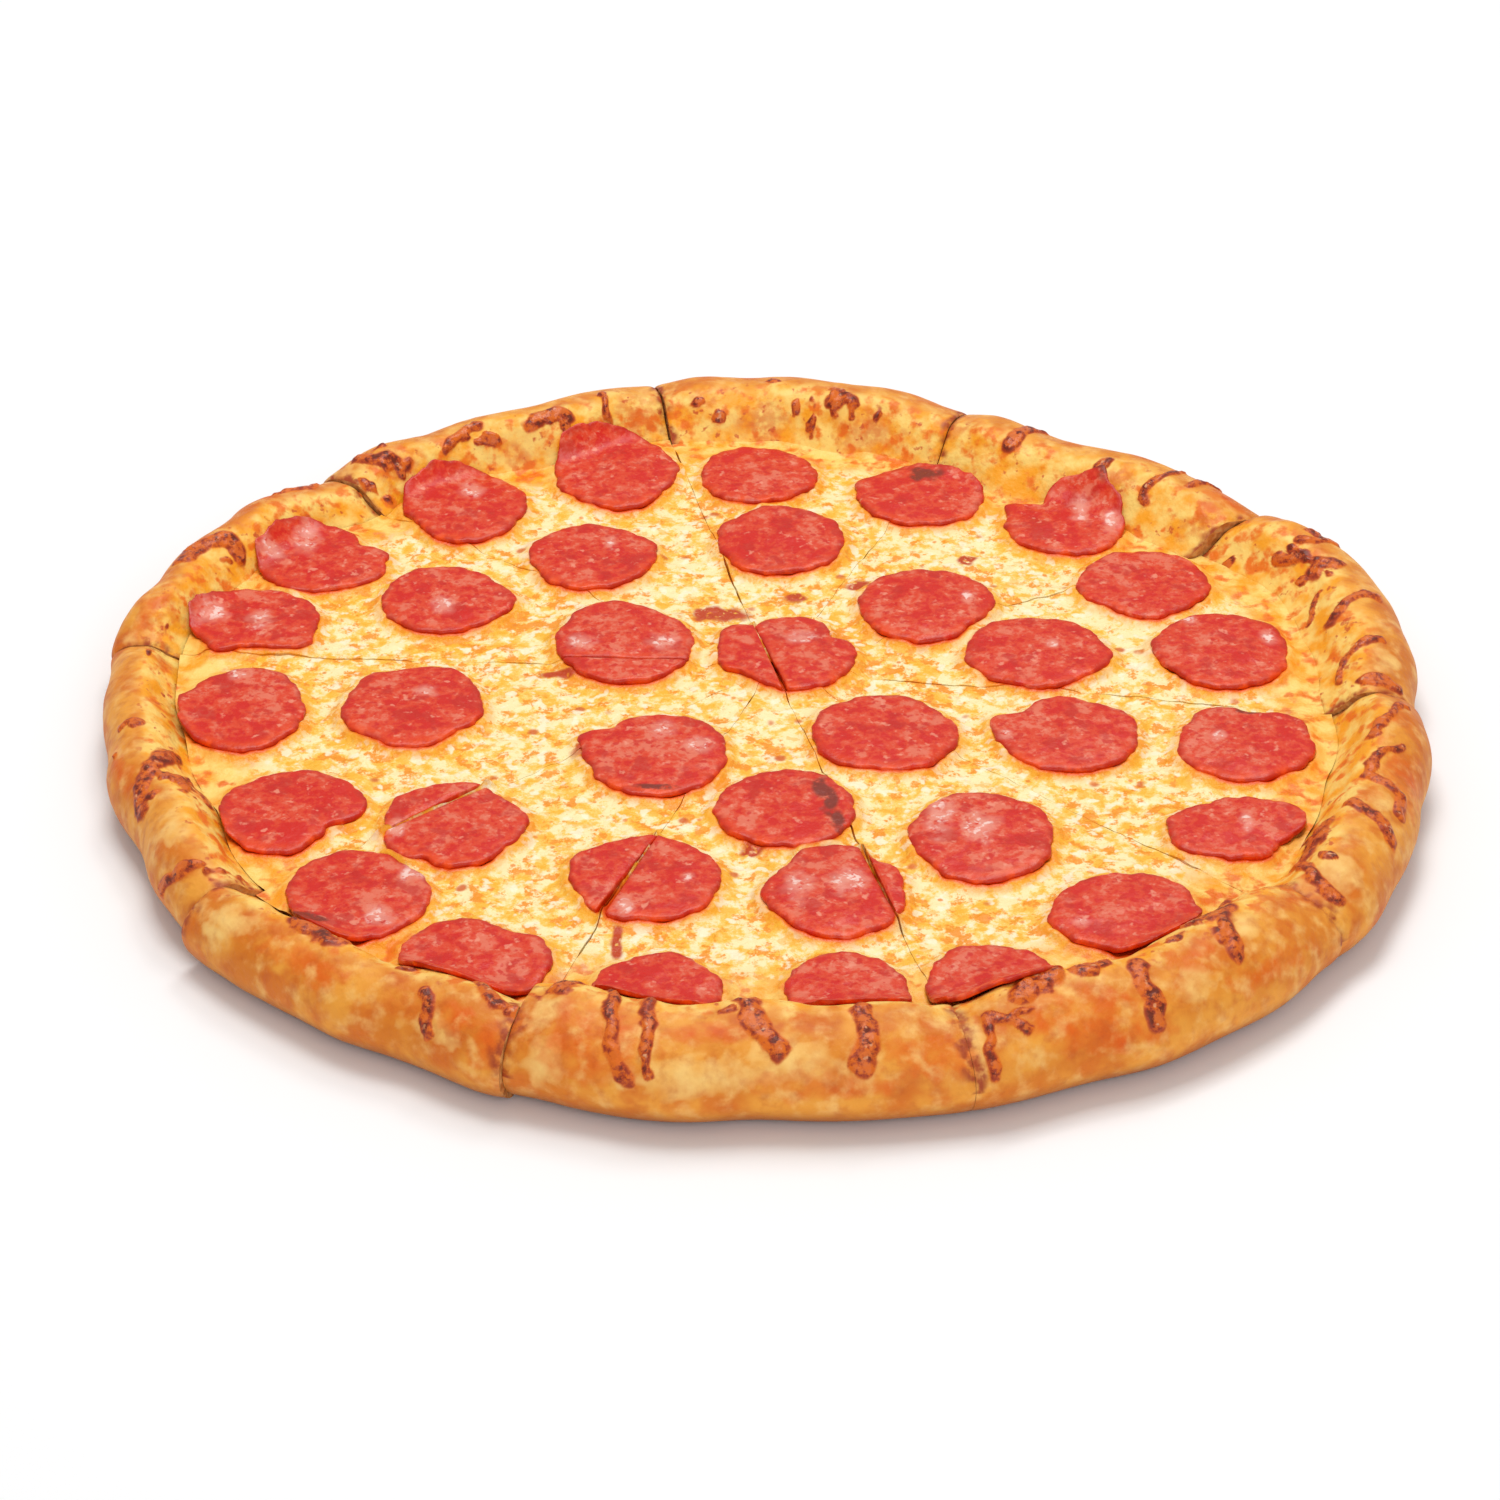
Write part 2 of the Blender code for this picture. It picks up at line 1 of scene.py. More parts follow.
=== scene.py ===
import bpy
import numpy as np
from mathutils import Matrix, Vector


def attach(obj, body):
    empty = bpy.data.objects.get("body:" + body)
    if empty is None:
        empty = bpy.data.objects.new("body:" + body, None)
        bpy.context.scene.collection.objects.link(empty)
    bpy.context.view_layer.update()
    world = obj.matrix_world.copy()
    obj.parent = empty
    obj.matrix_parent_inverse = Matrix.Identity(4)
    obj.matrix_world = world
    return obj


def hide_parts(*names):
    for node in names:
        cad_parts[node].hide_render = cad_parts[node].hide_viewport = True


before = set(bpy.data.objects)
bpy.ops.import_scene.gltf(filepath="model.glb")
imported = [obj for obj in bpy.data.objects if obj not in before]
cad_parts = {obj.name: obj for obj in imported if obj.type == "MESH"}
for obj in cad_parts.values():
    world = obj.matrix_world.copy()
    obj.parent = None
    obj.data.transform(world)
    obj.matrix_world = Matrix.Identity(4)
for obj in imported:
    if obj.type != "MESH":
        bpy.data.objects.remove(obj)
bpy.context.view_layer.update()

# The dough: one thick round of bread with its edge rolled in by hand, baked until it is golden, then cut in
# ten slices. The cuts cross off the middle, and each presses the rim down a little. Sizes are in millimetres
# and degrees, as on the CAD's solids, and MM turns them into metres.
MM = 0.001
CUT_CENTRE = np.array((3.0, 16.0))
KERF = 0.6
CUT_CLOSED = 0.24
CUT_CLOSED_REACH = 0.6
CUT_PRESS = 0.8
CUT_PRESS_SHUT = 0.4
CUT_PRESS_REACH = 0.8
# How far the painted shade of each cut reaches onto the crust
CUT_SHADE_REACH = 2.2
BED_HEIGHT = 9.0
WIDEST_HEIGHT = 10.0
BASE_ROUND = 16.0
BASE_SWEEP = 60.0
PINCH_REACH = 9.0
RIM_STEP = 0.55
SHARP_ANGLE = 50

# A row for each slice: the cut that starts it and how far the rim is pressed down there
CUTS = np.array(
    (
        (-8.5, 2.5), (27.5, 3.0), (67.0, 2.0), (103.0, 2.0), (142.5, 2.5),
        (177.4, 5.0), (220.0, 2.5), (250.7, 2.0), (284.3, 3.0), (318.0, 2.5),
    )
)  # fmt: skip
# The outer radius at the slice's start, at its thirds and at its end
RADII = np.array(
    (
        (175, 175, 176, 167), (163, 158, 152, 153), (154, 158, 163, 165), (165, 160, 164, 168),
        (167, 174, 179, 181), (181, 181, 184, 189), (193, 194, 193, 197), (195, 196, 195, 196),
        (196, 196, 195, 192), (191, 187, 181, 177),
    ),
    float,
)  # fmt: skip
# At both ends of the slice: how far in the crest is, how wide the inner slope is and how high the crest is
RIMS = np.array(
    (
        ((13, 15), (18, 24), (23, 24)), ((16, 18), (24, 22), (24, 24.5)), ((18, 19), (21, 20), (24.5, 24.5)),
        ((17, 14), (19, 18), (24, 23)), ((12, 10), (17, 16), (22, 21)), ((10, 11), (15, 17), (21, 21.5)),
        ((12, 14), (17, 19), (22, 23)), ((19, 20), (20, 20), (24.5, 25)), ((19, 17), (20, 20), (24.5, 24)),
        ((15, 13), (19, 18), (23.5, 23)),
    ),
    float,
)  # fmt: skip

# Slow waves of the outer edge, of the inner slope's width and of the crest, as (size, count a turn, start)
EDGE_WAVES = ((0.6, 17, 0), (0.4, 29, 70))
SLOPE_WAVES = ((1.2, 7, 100), (0.8, 13, 30))
CREST_WAVES = ((0.7, 8, 200), (0.5, 19, 0))

# Soft random lumps in layers, each with a height, a size and a seed: the rim's, the ridges', the wobble of
# the spots' edges, and how far the ridges' edges are pushed
BROAD_LUMPS = ((0.6, 14, 11),)
FINE_LUMPS = ((0.55, 6.5, 12), (0.25, 3, 13))
RIDGE_LUMPS = ((0.45, 1.8, 19),)
WOBBLE = ((0.8, 3.5, 17), (0.5, 1.6, 18))
RAGGED = ((1.3, 5, 14), (0.6, 2, 26))
RIDGE_RISE = 0.7
SCORCHED_SHARE = 0.85
RIDGE_SPREAD = 1.5

# Cheese that ran over the rim and browned there, as ridges: a width and a path of (angle, around the rim)
STRANDS = (
    (3.0, ((-0.2, 0.84), (-0.4, 1.12), (-1.8, 1.3), (-5.0, 1.42))),
    (3.4, ((-7.0, 1.1), (-6.6, 0.86), (-7.0, 0.6))),
    (3.5, ((5.1, 1.36), (6.8, 1.18), (8.4, 0.96), (8.2, 0.68))),
    (2.0, ((11.4, 1.3), (10.8, 1.45), (8.2, 1.56))),
    (5.0, ((14.6, 1.26), (15.4, 1.06), (14.6, 0.95))),
    (3.5, ((19.2, 1.35), (18.0, 1.32), (17.4, 1.2))),
    (3.0, ((19.4, 1.04), (19.1, 0.82), (19.4, 0.55))),
    (3.0, ((34.8, 0.9), (35.4, 0.62), (34.6, 0.4))),
    (2.4, ((37.4, 1.34), (38.1, 1.14), (38.4, 0.9), (38.6, 0.62))),
    (3.5, ((45.1, 1.3), (45.4, 1.1))),
    (4.0, ((57.4, 1.16), (57.6, 0.9), (57.4, 0.6))),
    (3.5, ((82.8, 1.2), (81.6, 1.08), (80.2, 1.18))),
    (2.4, ((110.1, 0.94), (110.1, 1.2), (110.4, 1.36))),
    (4.5, ((120.4, 1.2), (117.8, 1.05), (115.8, 1.2))),
    (3.0, ((130.4, 1.22), (127.8, 1.1), (125.6, 1.02))),
    (4.0, ((139.2, 0.7), (139.2, 1.02), (137.4, 1.1), (136.2, 1.28))),
    (3.0, ((149.0, 0.7), (146.8, 0.72), (144.8, 0.66))),
    (5.0, ((164.6, 0.86), (161.6, 0.9), (159.8, 1.06), (160.6, 1.4))),
    (3.0, ((193.5, 0.68), (193.2, 0.82), (194.0, 1.0))),
    (5.0, ((206.2, 0.4), (203.0, 0.74), (200.2, 1.14), (198.6, 1.4))),
    (3.0, ((215.2, 0.15), (216.0, 0.44), (217.3, 0.8))),
    (5.0, ((229.0, 1.15), (231.5, 1.05), (233.5, 1.15))),
    (3.0, ((243.0, 0.76), (244.2, 0.62), (244.0, 0.46), (244.6, 0.3))),
    (3.5, ((246.5, 1.3), (248.0, 1.05), (249.3, 0.95))),
    (4.0, ((253.0, 1.0), (253.4, 1.2), (254.4, 1.35))),
    (3.0, ((257.0, 1.2), (258.2, 0.7), (258.8, 0.35), (259.8, 0.24))),
    (2.6, ((260.3, 1.1), (260.8, 0.74), (261.0, 0.5), (261.2, 0.3))),
    (5.0, ((267.4, 1.2), (268.8, 0.8), (269.8, 0.64), (270.6, 0.52))),
    (4.2, ((277.3, 1.1), (277.0, 0.74), (276.5, 0.42))),
    (2.2, ((286.2, 0.84), (285.9, 0.6), (285.7, 0.2))),
    (2.4, ((286.6, 0.8), (287.7, 0.7), (288.8, 0.56))),
    (5.5, ((289.4, 0.9), (291.0, 0.98), (292.8, 1.1))),
    (4.0, ((295.0, 1.05), (296.0, 1.15), (297.2, 1.2))),
    (4.5, ((299.3, 0.98), (298.8, 0.64), (298.4, 0.34))),
    (5.5, ((309.2, 1.48), (311.2, 1.43), (313.2, 1.48))),
    (4.5, ((311.0, 1.3), (309.0, 1.05), (307.0, 0.62))),
    (3.2, ((322.8, 1.5), (321.0, 1.2), (319.6, 0.85), (319.6, 0.6))),
    (6.0, ((328.0, 1.36), (326.4, 1.46), (323.8, 1.42))),
    (4.2, ((331.1, 1.14), (330.6, 0.84), (330.2, 0.62), (329.2, 0.46))),
    (3.0, ((336.0, 1.06), (335.5, 0.74), (334.6, 0.52), (332.8, 0.5))),
    (2.4, ((341.6, 0.72), (339.8, 0.98), (337.6, 1.05), (336.0, 1.06))),
    (2.6, ((348.6, 0.72), (345.2, 1.04), (342.0, 1.14))),
)

# Spots of the rim as (angle, around, width along the rim, depth over it): dark scorched cheese, orange where
# the oil has browned it, and cream where the flour shows
SCORCHED = (
    (205.5, 0.70, 5, 9), (202.8, 1.06, 10, 10), (204.4, 1.24, 14, 9), (201.5, 1.46, 12, 8),
    (204.8, 1.52, 13, 8), (218.6, 1.15, 4, 16), (326.4, 1.55, 10, 6), (325.9, 1.34, 9, 6),
    (322.8, 1.05, 6, 6), (306.7, 1.24, 14, 5), (308.9, 1.15, 8, 5), (307.4, 0.80, 6, 6),
    (304.2, 1.12, 8, 4), (16.4, 1.18, 8, 5), (18.6, 1.20, 7, 4), (13.3, 1.12, 6, 6), (15.1, 1.36, 4, 5),
    (20.1, 0.80, 10, 4), (118.1, 1.14, 14, 5), (120.1, 1.26, 5, 6), (116.3, 1.30, 4, 7),
    (138.1, 0.74, 8, 6), (138.1, 1.12, 7, 7), (137.1, 1.32, 5, 5), (141.6, 1.26, 4, 8), (140.8, 1.50, 4, 5),
    (136.3, 0.80, 6, 4), (127.8, 1.14, 5, 6), (126.6, 1.30, 8, 4), (125.1, 1.28, 5, 4), (126.3, 1.02, 3, 6),
    (81.6, 1.18, 7, 7), (79.8, 1.30, 4, 5), (82.3, 0.96, 6, 4), (161.1, 1.04, 10, 6), (162.1, 1.36, 5, 8),
    (163.1, 0.96, 10, 4), (159.8, 1.26, 5, 7), (230.6, 1.20, 9, 8), (250.8, 0.95, 7, 4),
    (252.3, 1.00, 8, 4), (253.3, 1.10, 5, 4), (257.4, 0.94, 4, 3), (290.9, 1.03, 11, 6),
    (295.5, 1.02, 5, 4), (297.0, 1.05, 4, 3), (174.8, 1.32, 4, 3), (186.2, 1.46, 5, 3), (193.8, 0.80, 4, 4),
    (197.0, 0.48, 3, 3), (99.1, 1.24, 5, 3), (96.6, 1.42, 5, 3), (84.8, 1.36, 4, 8), (76.3, 1.28, 4, 6),
    (87.1, 1.30, 3, 4), (90.3, 0.90, 7, 3), (240.3, 1.06, 4, 3), (266.8, 0.95, 5, 3), (110.3, 1.26, 4, 5),
    (23.9, 1.66, 3, 6), (180.2, 1.10, 6, 2.5), (288.4, 0.72, 7, 2),
)  # fmt: skip
BROWNED = (
    (292.9, 0.50, 36, 15), (281.3, 0.48, 22, 12), (256.0, 0.52, 20, 20), (249.4, 0.40, 9, 18),
    (264.8, 0.70, 24, 5), (246.6, 0.58, 16, 10), (303.7, 0.82, 14, 10), (318.4, 0.92, 16, 14),
    (77.3, 1.45, 30, 12), (91.6, 1.50, 22, 10), (273.0, 0.18, 40, 8), (232.3, 0.58, 30, 10),
    (219.8, 1.06, 8, 16), (174.1, 1.00, 26, 16), (180.2, 1.38, 10, 12), (28.9, 1.22, 16, 14),
    (41.9, 1.28, 14, 12), (65.6, 1.08, 20, 12), (106.1, 1.28, 20, 14), (98.6, 1.18, 10, 8),
    (122.8, 1.52, 10, 8), (30.6, 0.78, 20, 10), (352.0, 1.85, 20, 8), (338.0, 0.50, 24, 16),
    (200.0, 0.50, 30, 10), (150.0, 0.80, 24, 14), (137.0, 1.20, 20, 14), (259.3, 0.62, 11, 17),
    (310.0, 0.30, 30, 8), (296.0, 0.24, 22, 10),
)  # fmt: skip
FLOURED = (
    (244.8, 0.36, 18, 8), (253.8, 0.28, 10, 14), (253.0, 0.74, 8, 10), (265.0, 0.28, 34, 10),
    (271.3, 0.44, 22, 12), (284.9, 0.60, 4, 16), (290.9, 0.46, 5, 4), (302.4, 0.52, 12, 12),
    (331.6, 1.16, 12, 10), (356.6, 0.76, 12, 10), (17.1, 1.26, 8, 8), (321.9, 0.78, 14, 14),
    (224.6, 0.62, 14, 14), (224.1, 0.38, 12, 8), (189.8, 1.16, 12, 8), (309.2, 0.84, 12, 8),
    (348.6, 1.04, 10, 6), (141.8, 0.60, 14, 12), (131.8, 1.04, 16, 8), (95.3, 1.24, 24, 5),
    (29.6, 1.78, 10, 8), (26.4, 1.48, 10, 8), (332.9, 0.80, 10, 10), (212.0, 0.90, 20, 14),
    (345.0, 1.35, 12, 8), (9.0, 1.30, 14, 10),
)  # fmt: skip
RIM_RADIUS = 180.0
RIM_ROUND = 24.0

# The rows of the rim's section: under its widest place, from there to the crest, and down the inner slope
ROWS_UNDER = 8
ROWS_OUTSIDE = 45
ROWS_INSIDE = 44


def sin_deg(angle):
    return np.sin(np.radians(angle))


def cos_deg(angle):
    return np.cos(np.radians(angle))


def ease(value):
    """0 below 0, 1 above 1, and a half cosine between."""
    return (1 - np.cos(np.pi * np.clip(value, 0, 1))) / 2


def sum_of_waves(table, angle):
    """The sum of a table's sine waves round the pizza."""
    return sum(size * sin_deg(count * angle + start) for size, count, start in table)


def slice_span(index):
    """The angle between the two cuts of a slice."""
    return (CUTS[(index + 1) % len(CUTS), 0] - CUTS[index, 0]) % 360


def rim_sizes(index, angle):
    """A slice's outer radius, and its rim's inset, slope width and crest height, at an angle.

    Each is the slice's own values eased from one to the next, plus slow sine waves. The crest drops at each
    cut by a bell curve.
    """
    along = (angle - CUTS[index, 0]) / slice_span(index)
    step = np.clip(3 * along, 0, 2).astype(int)
    start, end = RADII[index, step], RADII[index, step + 1]
    outer = start + (end - start) * ease(3 * along - step)
    outer = outer + sum_of_waves(EDGE_WAVES, angle)
    first, last = np.moveaxis(RIMS[index], -1, 0)
    inset, slope, crest = np.moveaxis(first + (last - first) * ease(along)[..., None], -1, 0)
    slope = slope + sum_of_waves(SLOPE_WAVES, angle)
    crest = crest + sum_of_waves(CREST_WAVES, angle)
    for (cut, pinch), radii in zip(CUTS, RADII):
        away = np.radians((angle - cut + 180) % 360 - 180) * radii[0]
        crest = crest - pinch * np.exp(-((away / PINCH_REACH) ** 2))
    return outer, inset, slope, crest


def rim_section(sizes, around):
    """The rim's section as the distance in from the outer edge and the height.

    Around is -1 at the base's edge, 0 where the rim is widest, 1 on its crest and 2 at the foot of the inner
    slope. The outer side is two parts of ellipses. The inner slope is half a cosine.
    """
    _, inset, slope, crest = sizes
    low = BASE_SWEEP * np.clip(around, -1, 0)
    turn = 90 * np.clip(around, 0, 1)
    down = np.clip(around - 1, 0, 1)
    inwards = BASE_ROUND * (1 - cos_deg(low)) + inset * (1 - cos_deg(turn)) + slope * down
    under = WIDEST_HEIGHT * (1 + sin_deg(low) / sin_deg(BASE_SWEEP))
    height = under + (crest - WIDEST_HEIGHT) * sin_deg(turn)
    return inwards, height + (BED_HEIGHT - crest) * ease(down)


def slice_place(index, angle, inwards, height, outer):
    """Points of a slice in space. Angles turn about its tip, half the kerf away from both cuts."""
    middle = CUTS[index, 0] + slice_span(index) / 2
    back = KERF / 2 / sin_deg(slice_span(index) / 2)
    distance = outer - back * cos_deg(angle - middle) - inwards
    x = CUT_CENTRE[0] + back * cos_deg(middle) + distance * cos_deg(angle)
    y = CUT_CENTRE[1] + back * sin_deg(middle) + distance * sin_deg(angle)
    return np.stack(np.broadcast_arrays(x, y, height), axis=-1)


def lumps(points, size, seed):
    """Soft random lumps from -1 to 1: random values on a cubic lattice, eased between its corners."""
    lattice = np.random.default_rng(seed).uniform(-1, 1, (32, 32, 32))
    low = np.floor(points / size).astype(int)
    share = ease(points / size - low)
    total = np.zeros(points.shape[:-1])
    for corner in np.ndindex(2, 2, 2):
        weight = np.prod(np.where(corner, share, 1 - share), axis=-1)
        cell = (low + corner) % 32
        total += weight * lattice[cell[..., 0], cell[..., 1], cell[..., 2]]
    return total


def layered(points, layers):
    """The sum of layers of soft lumps, each with a height, a size and a seed."""
    return sum(height * lumps(points, size, seed) for height, size, seed in layers)


def pushed(points, layers):
    """Points moved by layers of soft lumps in turn: what is measured from them gets a ragged edge."""
    for amount, size, seed in layers:
        points = points + amount * np.stack([lumps(points, size, seed + axis) for axis in range(3)], axis=-1)
    return points


def spot_cover(spots, angle, around, wobble):
    """How far inside the nearest spot each point lies: 1 at its middle, 0 at its edge, which wobbles."""
    cover = np.zeros(wobble.shape)
    for middle, level, width, depth in spots:
        along = np.radians((angle - middle + 180) % 360 - 180) * RIM_RADIUS
        over = (around - level) * RIM_ROUND
        cover = np.maximum(cover, 1 - 2 * np.hypot(along / width, over / depth) + wobble)
    return np.clip(cover, 0, 1)


def nearness(points, path, width):
    """1 on the line of a path of points, falling evenly to 0 at half the width on each side."""
    nearest = np.full(points.shape[:-1], np.inf)
    for start, end in zip(path, path[1:]):
        along = end - start
        share = np.clip((points - start) @ along / (along @ along), 0, 1)
        nearest = np.minimum(nearest, np.linalg.norm(points - start - share[..., None] * along, axis=-1))
    return np.clip(1 - 2 * nearest / width, 0, 1)


def rounded(path):
    """A path with each corner cut twice, a quarter of the way along both of its sides."""
    for _ in range(2):
        quarters = np.stack((0.75 * path[:-1] + 0.25 * path[1:], 0.25 * path[:-1] + 0.75 * path[1:]), axis=1)
        path = np.concatenate((path[:1], quarters.reshape(-1, path.shape[1]), path[-1:]))
    return path


def grid_faces(rows, columns, closed=False):
    """The quads of a grid, its points numbered row by row. A closed one's last column meets its first."""
    number = np.arange(rows * columns).reshape(rows, columns)
    if closed:
        number = np.column_stack((number, number[:, 0]))
    corners = (number[:-1, :-1], number[:-1, 1:], number[1:, 1:], number[1:, :-1])
    return np.stack(corners, axis=-1).reshape(-1, 4).tolist()


def new_piece(name, points, faces, materials, marks):
    """A mesh object from points in millimetres, with a float attribute for each mark, riding on the root."""
    mesh = bpy.data.meshes.new(name)
    mesh.from_pydata((points.reshape(-1, 3) * MM).tolist(), [], faces)
    for material in materials:
        mesh.materials.append(material)
    for mark, values in marks.items():
        attribute = mesh.attributes.new(mark, "FLOAT", "POINT")
        attribute.data.foreach_set("value", values.ravel().astype(np.float32))
    mesh.shade_smooth()
    mesh.set_sharp_from_angle(angle=np.radians(SHARP_ANGLE))
    piece = bpy.data.objects.new(name, mesh)
    bpy.context.scene.collection.objects.link(piece)
    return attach(piece, "root")


class Socket:
    """A shader socket. Sums on it add Math nodes, and node() adds any other kind."""

    def __init__(self, tree, socket):
        self.tree = tree
        self.socket = socket

    def node(self, kind, inputs, output=0, **settings):
        """Adds a node, fills its inputs with sockets or plain values, and gives one of its outputs."""
        made = self.tree.nodes.new("ShaderNode" + kind)
        for name, value in settings.items():
            setattr(made, name, value)
        for name, value in inputs.items():
            if isinstance(value, Socket):
                self.tree.links.new(value.socket, made.inputs[name])
            else:
                made.inputs[name].default_value = value
        return Socket(self.tree, made.outputs[output])

    def __add__(self, other):
        return self.node("Math", {0: self, 1: other}, operation="ADD")

    def __sub__(self, other):
        return self.node("Math", {0: self, 1: other}, operation="SUBTRACT")

    def __rsub__(self, other):
        return self.node("Math", {0: other, 1: self}, operation="SUBTRACT")

    def __mul__(self, other):
        return self.node("Math", {0: self, 1: other}, operation="MULTIPLY")

    __radd__ = __add__
    __rmul__ = __mul__

    def between(self, low, high):
        """0 at the low value and 1 at the high one, smooth between. Low may be the larger of the two."""
        inputs = {"Value": self, "From Min": low, "From Max": high}
        return self.node("MapRange", inputs, interpolation_type="SMOOTHSTEP")

    def tint(self, first, second):
        """A colour that goes from the first to the second as this socket goes from 0 to 1."""
        return self.node("Mix", {0: self, 6: first, 7: second}, output=2, data_type="RGBA")

    def noise(self, size, detail=2.0, seed=0.0, rough=0.5):
        """Noise from 0 to 1 on these coordinates, with lumps of a size in millimetres."""
        inputs = {"Vector": self, "W": seed, "Scale": 1 / (size * MM), "Detail": detail, "Roughness": rough}
        return self.node("TexNoise", inputs, noise_dimensions="4D")

    def cells(self, size, seed=0.0):
        """The distance to the nearest of scattered points, in parts of their spacing in millimetres."""
        inputs = {"Vector": self, "W": seed, "Scale": 1 / (size * MM)}
        return self.node("TexVoronoi", inputs, voronoi_dimensions="4D")


def colour(red, green, blue):
    """A colour as seen on a screen, from 0 to 255, turned into the linear one that shaders take."""
    shares = np.array((red, green, blue)) / 255
    linear = np.where(shares > 0.04045, ((shares + 0.055) / 1.055) ** 2.4, shares / 12.92)
    return (*linear.tolist(), 1.0)


def new_material(name, gloss=0.5, coat=0.0, coat_roughness=0.2):
    """A Principled material. Returns it, its shader and the Object coordinates."""
    material = bpy.data.materials.new(name)
    material.use_nodes = True
    tree = material.node_tree
    shader = tree.nodes["Principled BSDF"]
    shader.inputs["Specular IOR Level"].default_value = gloss
    shader.inputs["Coat Weight"].default_value = coat
    shader.inputs["Coat Roughness"].default_value = coat_roughness
    coordinates = Socket(tree, tree.nodes.new("ShaderNodeTexCoord").outputs["Object"])
    return material, shader, coordinates


def mark_of(socket, name):
    """A piece's own float attribute."""
    return socket.node("Attribute", {}, output=2, attribute_name=name)


def finish_material(shader, tint, roughness, height, bump_size):
    """Feeds a shader its colour, its roughness and a bump whose height is in millimetres."""
    bump = height.node("Bump", {"Height": height, "Distance": bump_size * MM, "Strength": 1.0})
    for name, value in (("Base Color", tint), ("Roughness", roughness), ("Normal", bump)):
        tint.tree.links.new(value.socket, shader.inputs[name])


def thin_cheese(place):
    """The colour of the cheese that ran thin by the rim: yellow and cream, with orange flecks."""
    skin = place.noise(6, 4, seed=2).between(0.36, 0.62).tint(colour(252, 166, 24), colour(255, 216, 116))
    return (place.noise(5, 5, seed=15).between(0.5, 0.64) * 0.95).tint(skin, colour(238, 112, 8))


crust, shader, place = new_material("baked_crust", gloss=0.25, coat=0.06, coat_roughness=0.35)
around, strand, browned, floured, cut_edge = (
    mark_of(place, name) for name in ("around", "strand", "browned", "floured", "cut_edge")
)
height = place.node("SeparateXYZ", {0: place}, output=2)
skin = place.noise(16, 3, seed=1).between(0.38, 0.6).tint(colour(220, 124, 28), colour(240, 160, 56))
skin = (place.noise(11, 3, seed=4).between(0.48, 0.62) * 0.7).tint(skin, colour(216, 104, 18))
skin = (floured * place.noise(6, 3, seed=11).between(0.1, 0.7)).tint(skin, colour(254, 208, 122))
skin = (browned * place.noise(6, 3, seed=12).between(0.1, 0.7)).tint(skin, colour(226, 92, 0))
skin = (place.noise(5, 5, seed=13).between(0.46, 0.76) * 0.7).tint(skin, colour(254, 204, 120))
skin = (place.noise(4, 5, seed=14).between(0.46, 0.76) * 0.5).tint(skin, colour(194, 80, 14))
skin = height.between(0.010, 0.002).tint(skin, colour(186, 108, 44))
skin = height.between(0.003, 0.0005).tint(skin, colour(146, 72, 30))
melted = (around + place.noise(9, 3, seed=18) * 0.6).between(1.1, 1.45)
skin = (melted * 0.95).tint(skin, thin_cheese(place))
browned = browned * melted * place.noise(2.5, 3, seed=16).between(0.3, 0.6) * 0.8
skin = browned.tint(skin, colour(222, 106, 30))
specks = place.noise(2.6, 3, seed=6).between(0.62, 0.7) * around.between(0.7, 1.1) * 0.8
skin = specks.tint(skin, colour(204, 82, 34))
# Darker crust along each cut: painted shade of the slit
skin = (cut_edge * place.noise(3, 3, seed=17).between(0.35, 0.6)).tint(skin, colour(168, 70, 30))
burnt = place.noise(3, 4, seed=3, rough=0.65)
skin = strand.between(0.0, 0.3).tint(skin, colour(222, 106, 20))
skin = (strand.between(0.04, 0.34) * burnt.between(0.42, 0.55)).tint(skin, colour(168, 60, 26))
crisp_and_sheen = place.noise(2.2, 4, seed=21, rough=0.6)
skin = (strand.between(0.4, 0.7) * crisp_and_sheen.between(0.46, 0.58) * 0.9).tint(skin, colour(218, 108, 40))
skin = (strand.between(0.2, 0.55) * burnt.between(0.53, 0.6)).tint(skin, colour(112, 40, 20))
# Pale pink spots on the strands' tops: painted highlights
crisp_and_sheen = place.noise(2, 2, seed=8)
skin = (strand.between(0.5, 0.8) * crisp_and_sheen.between(0.6, 0.7)).tint(skin, colour(222, 156, 112))
rough = 0.55 - 0.12 * melted - 0.15 * strand.between(0.2, 0.6)
relief = place.noise(1.5, 4, seed=5) * 0.6 + place.noise(5, 3, seed=7)
finish_material(shader, skin, rough, relief, 0.55)

crumb, shader, place = new_material("bread_crumb", gloss=0.2)
inside = place.noise(2.5, 4).between(0.35, 0.65).tint(colour(186, 112, 50), colour(214, 156, 92))
finish_material(shader, inside, place.noise(3) * 0.1 + 0.7, place.cells(1.8), 0.8)

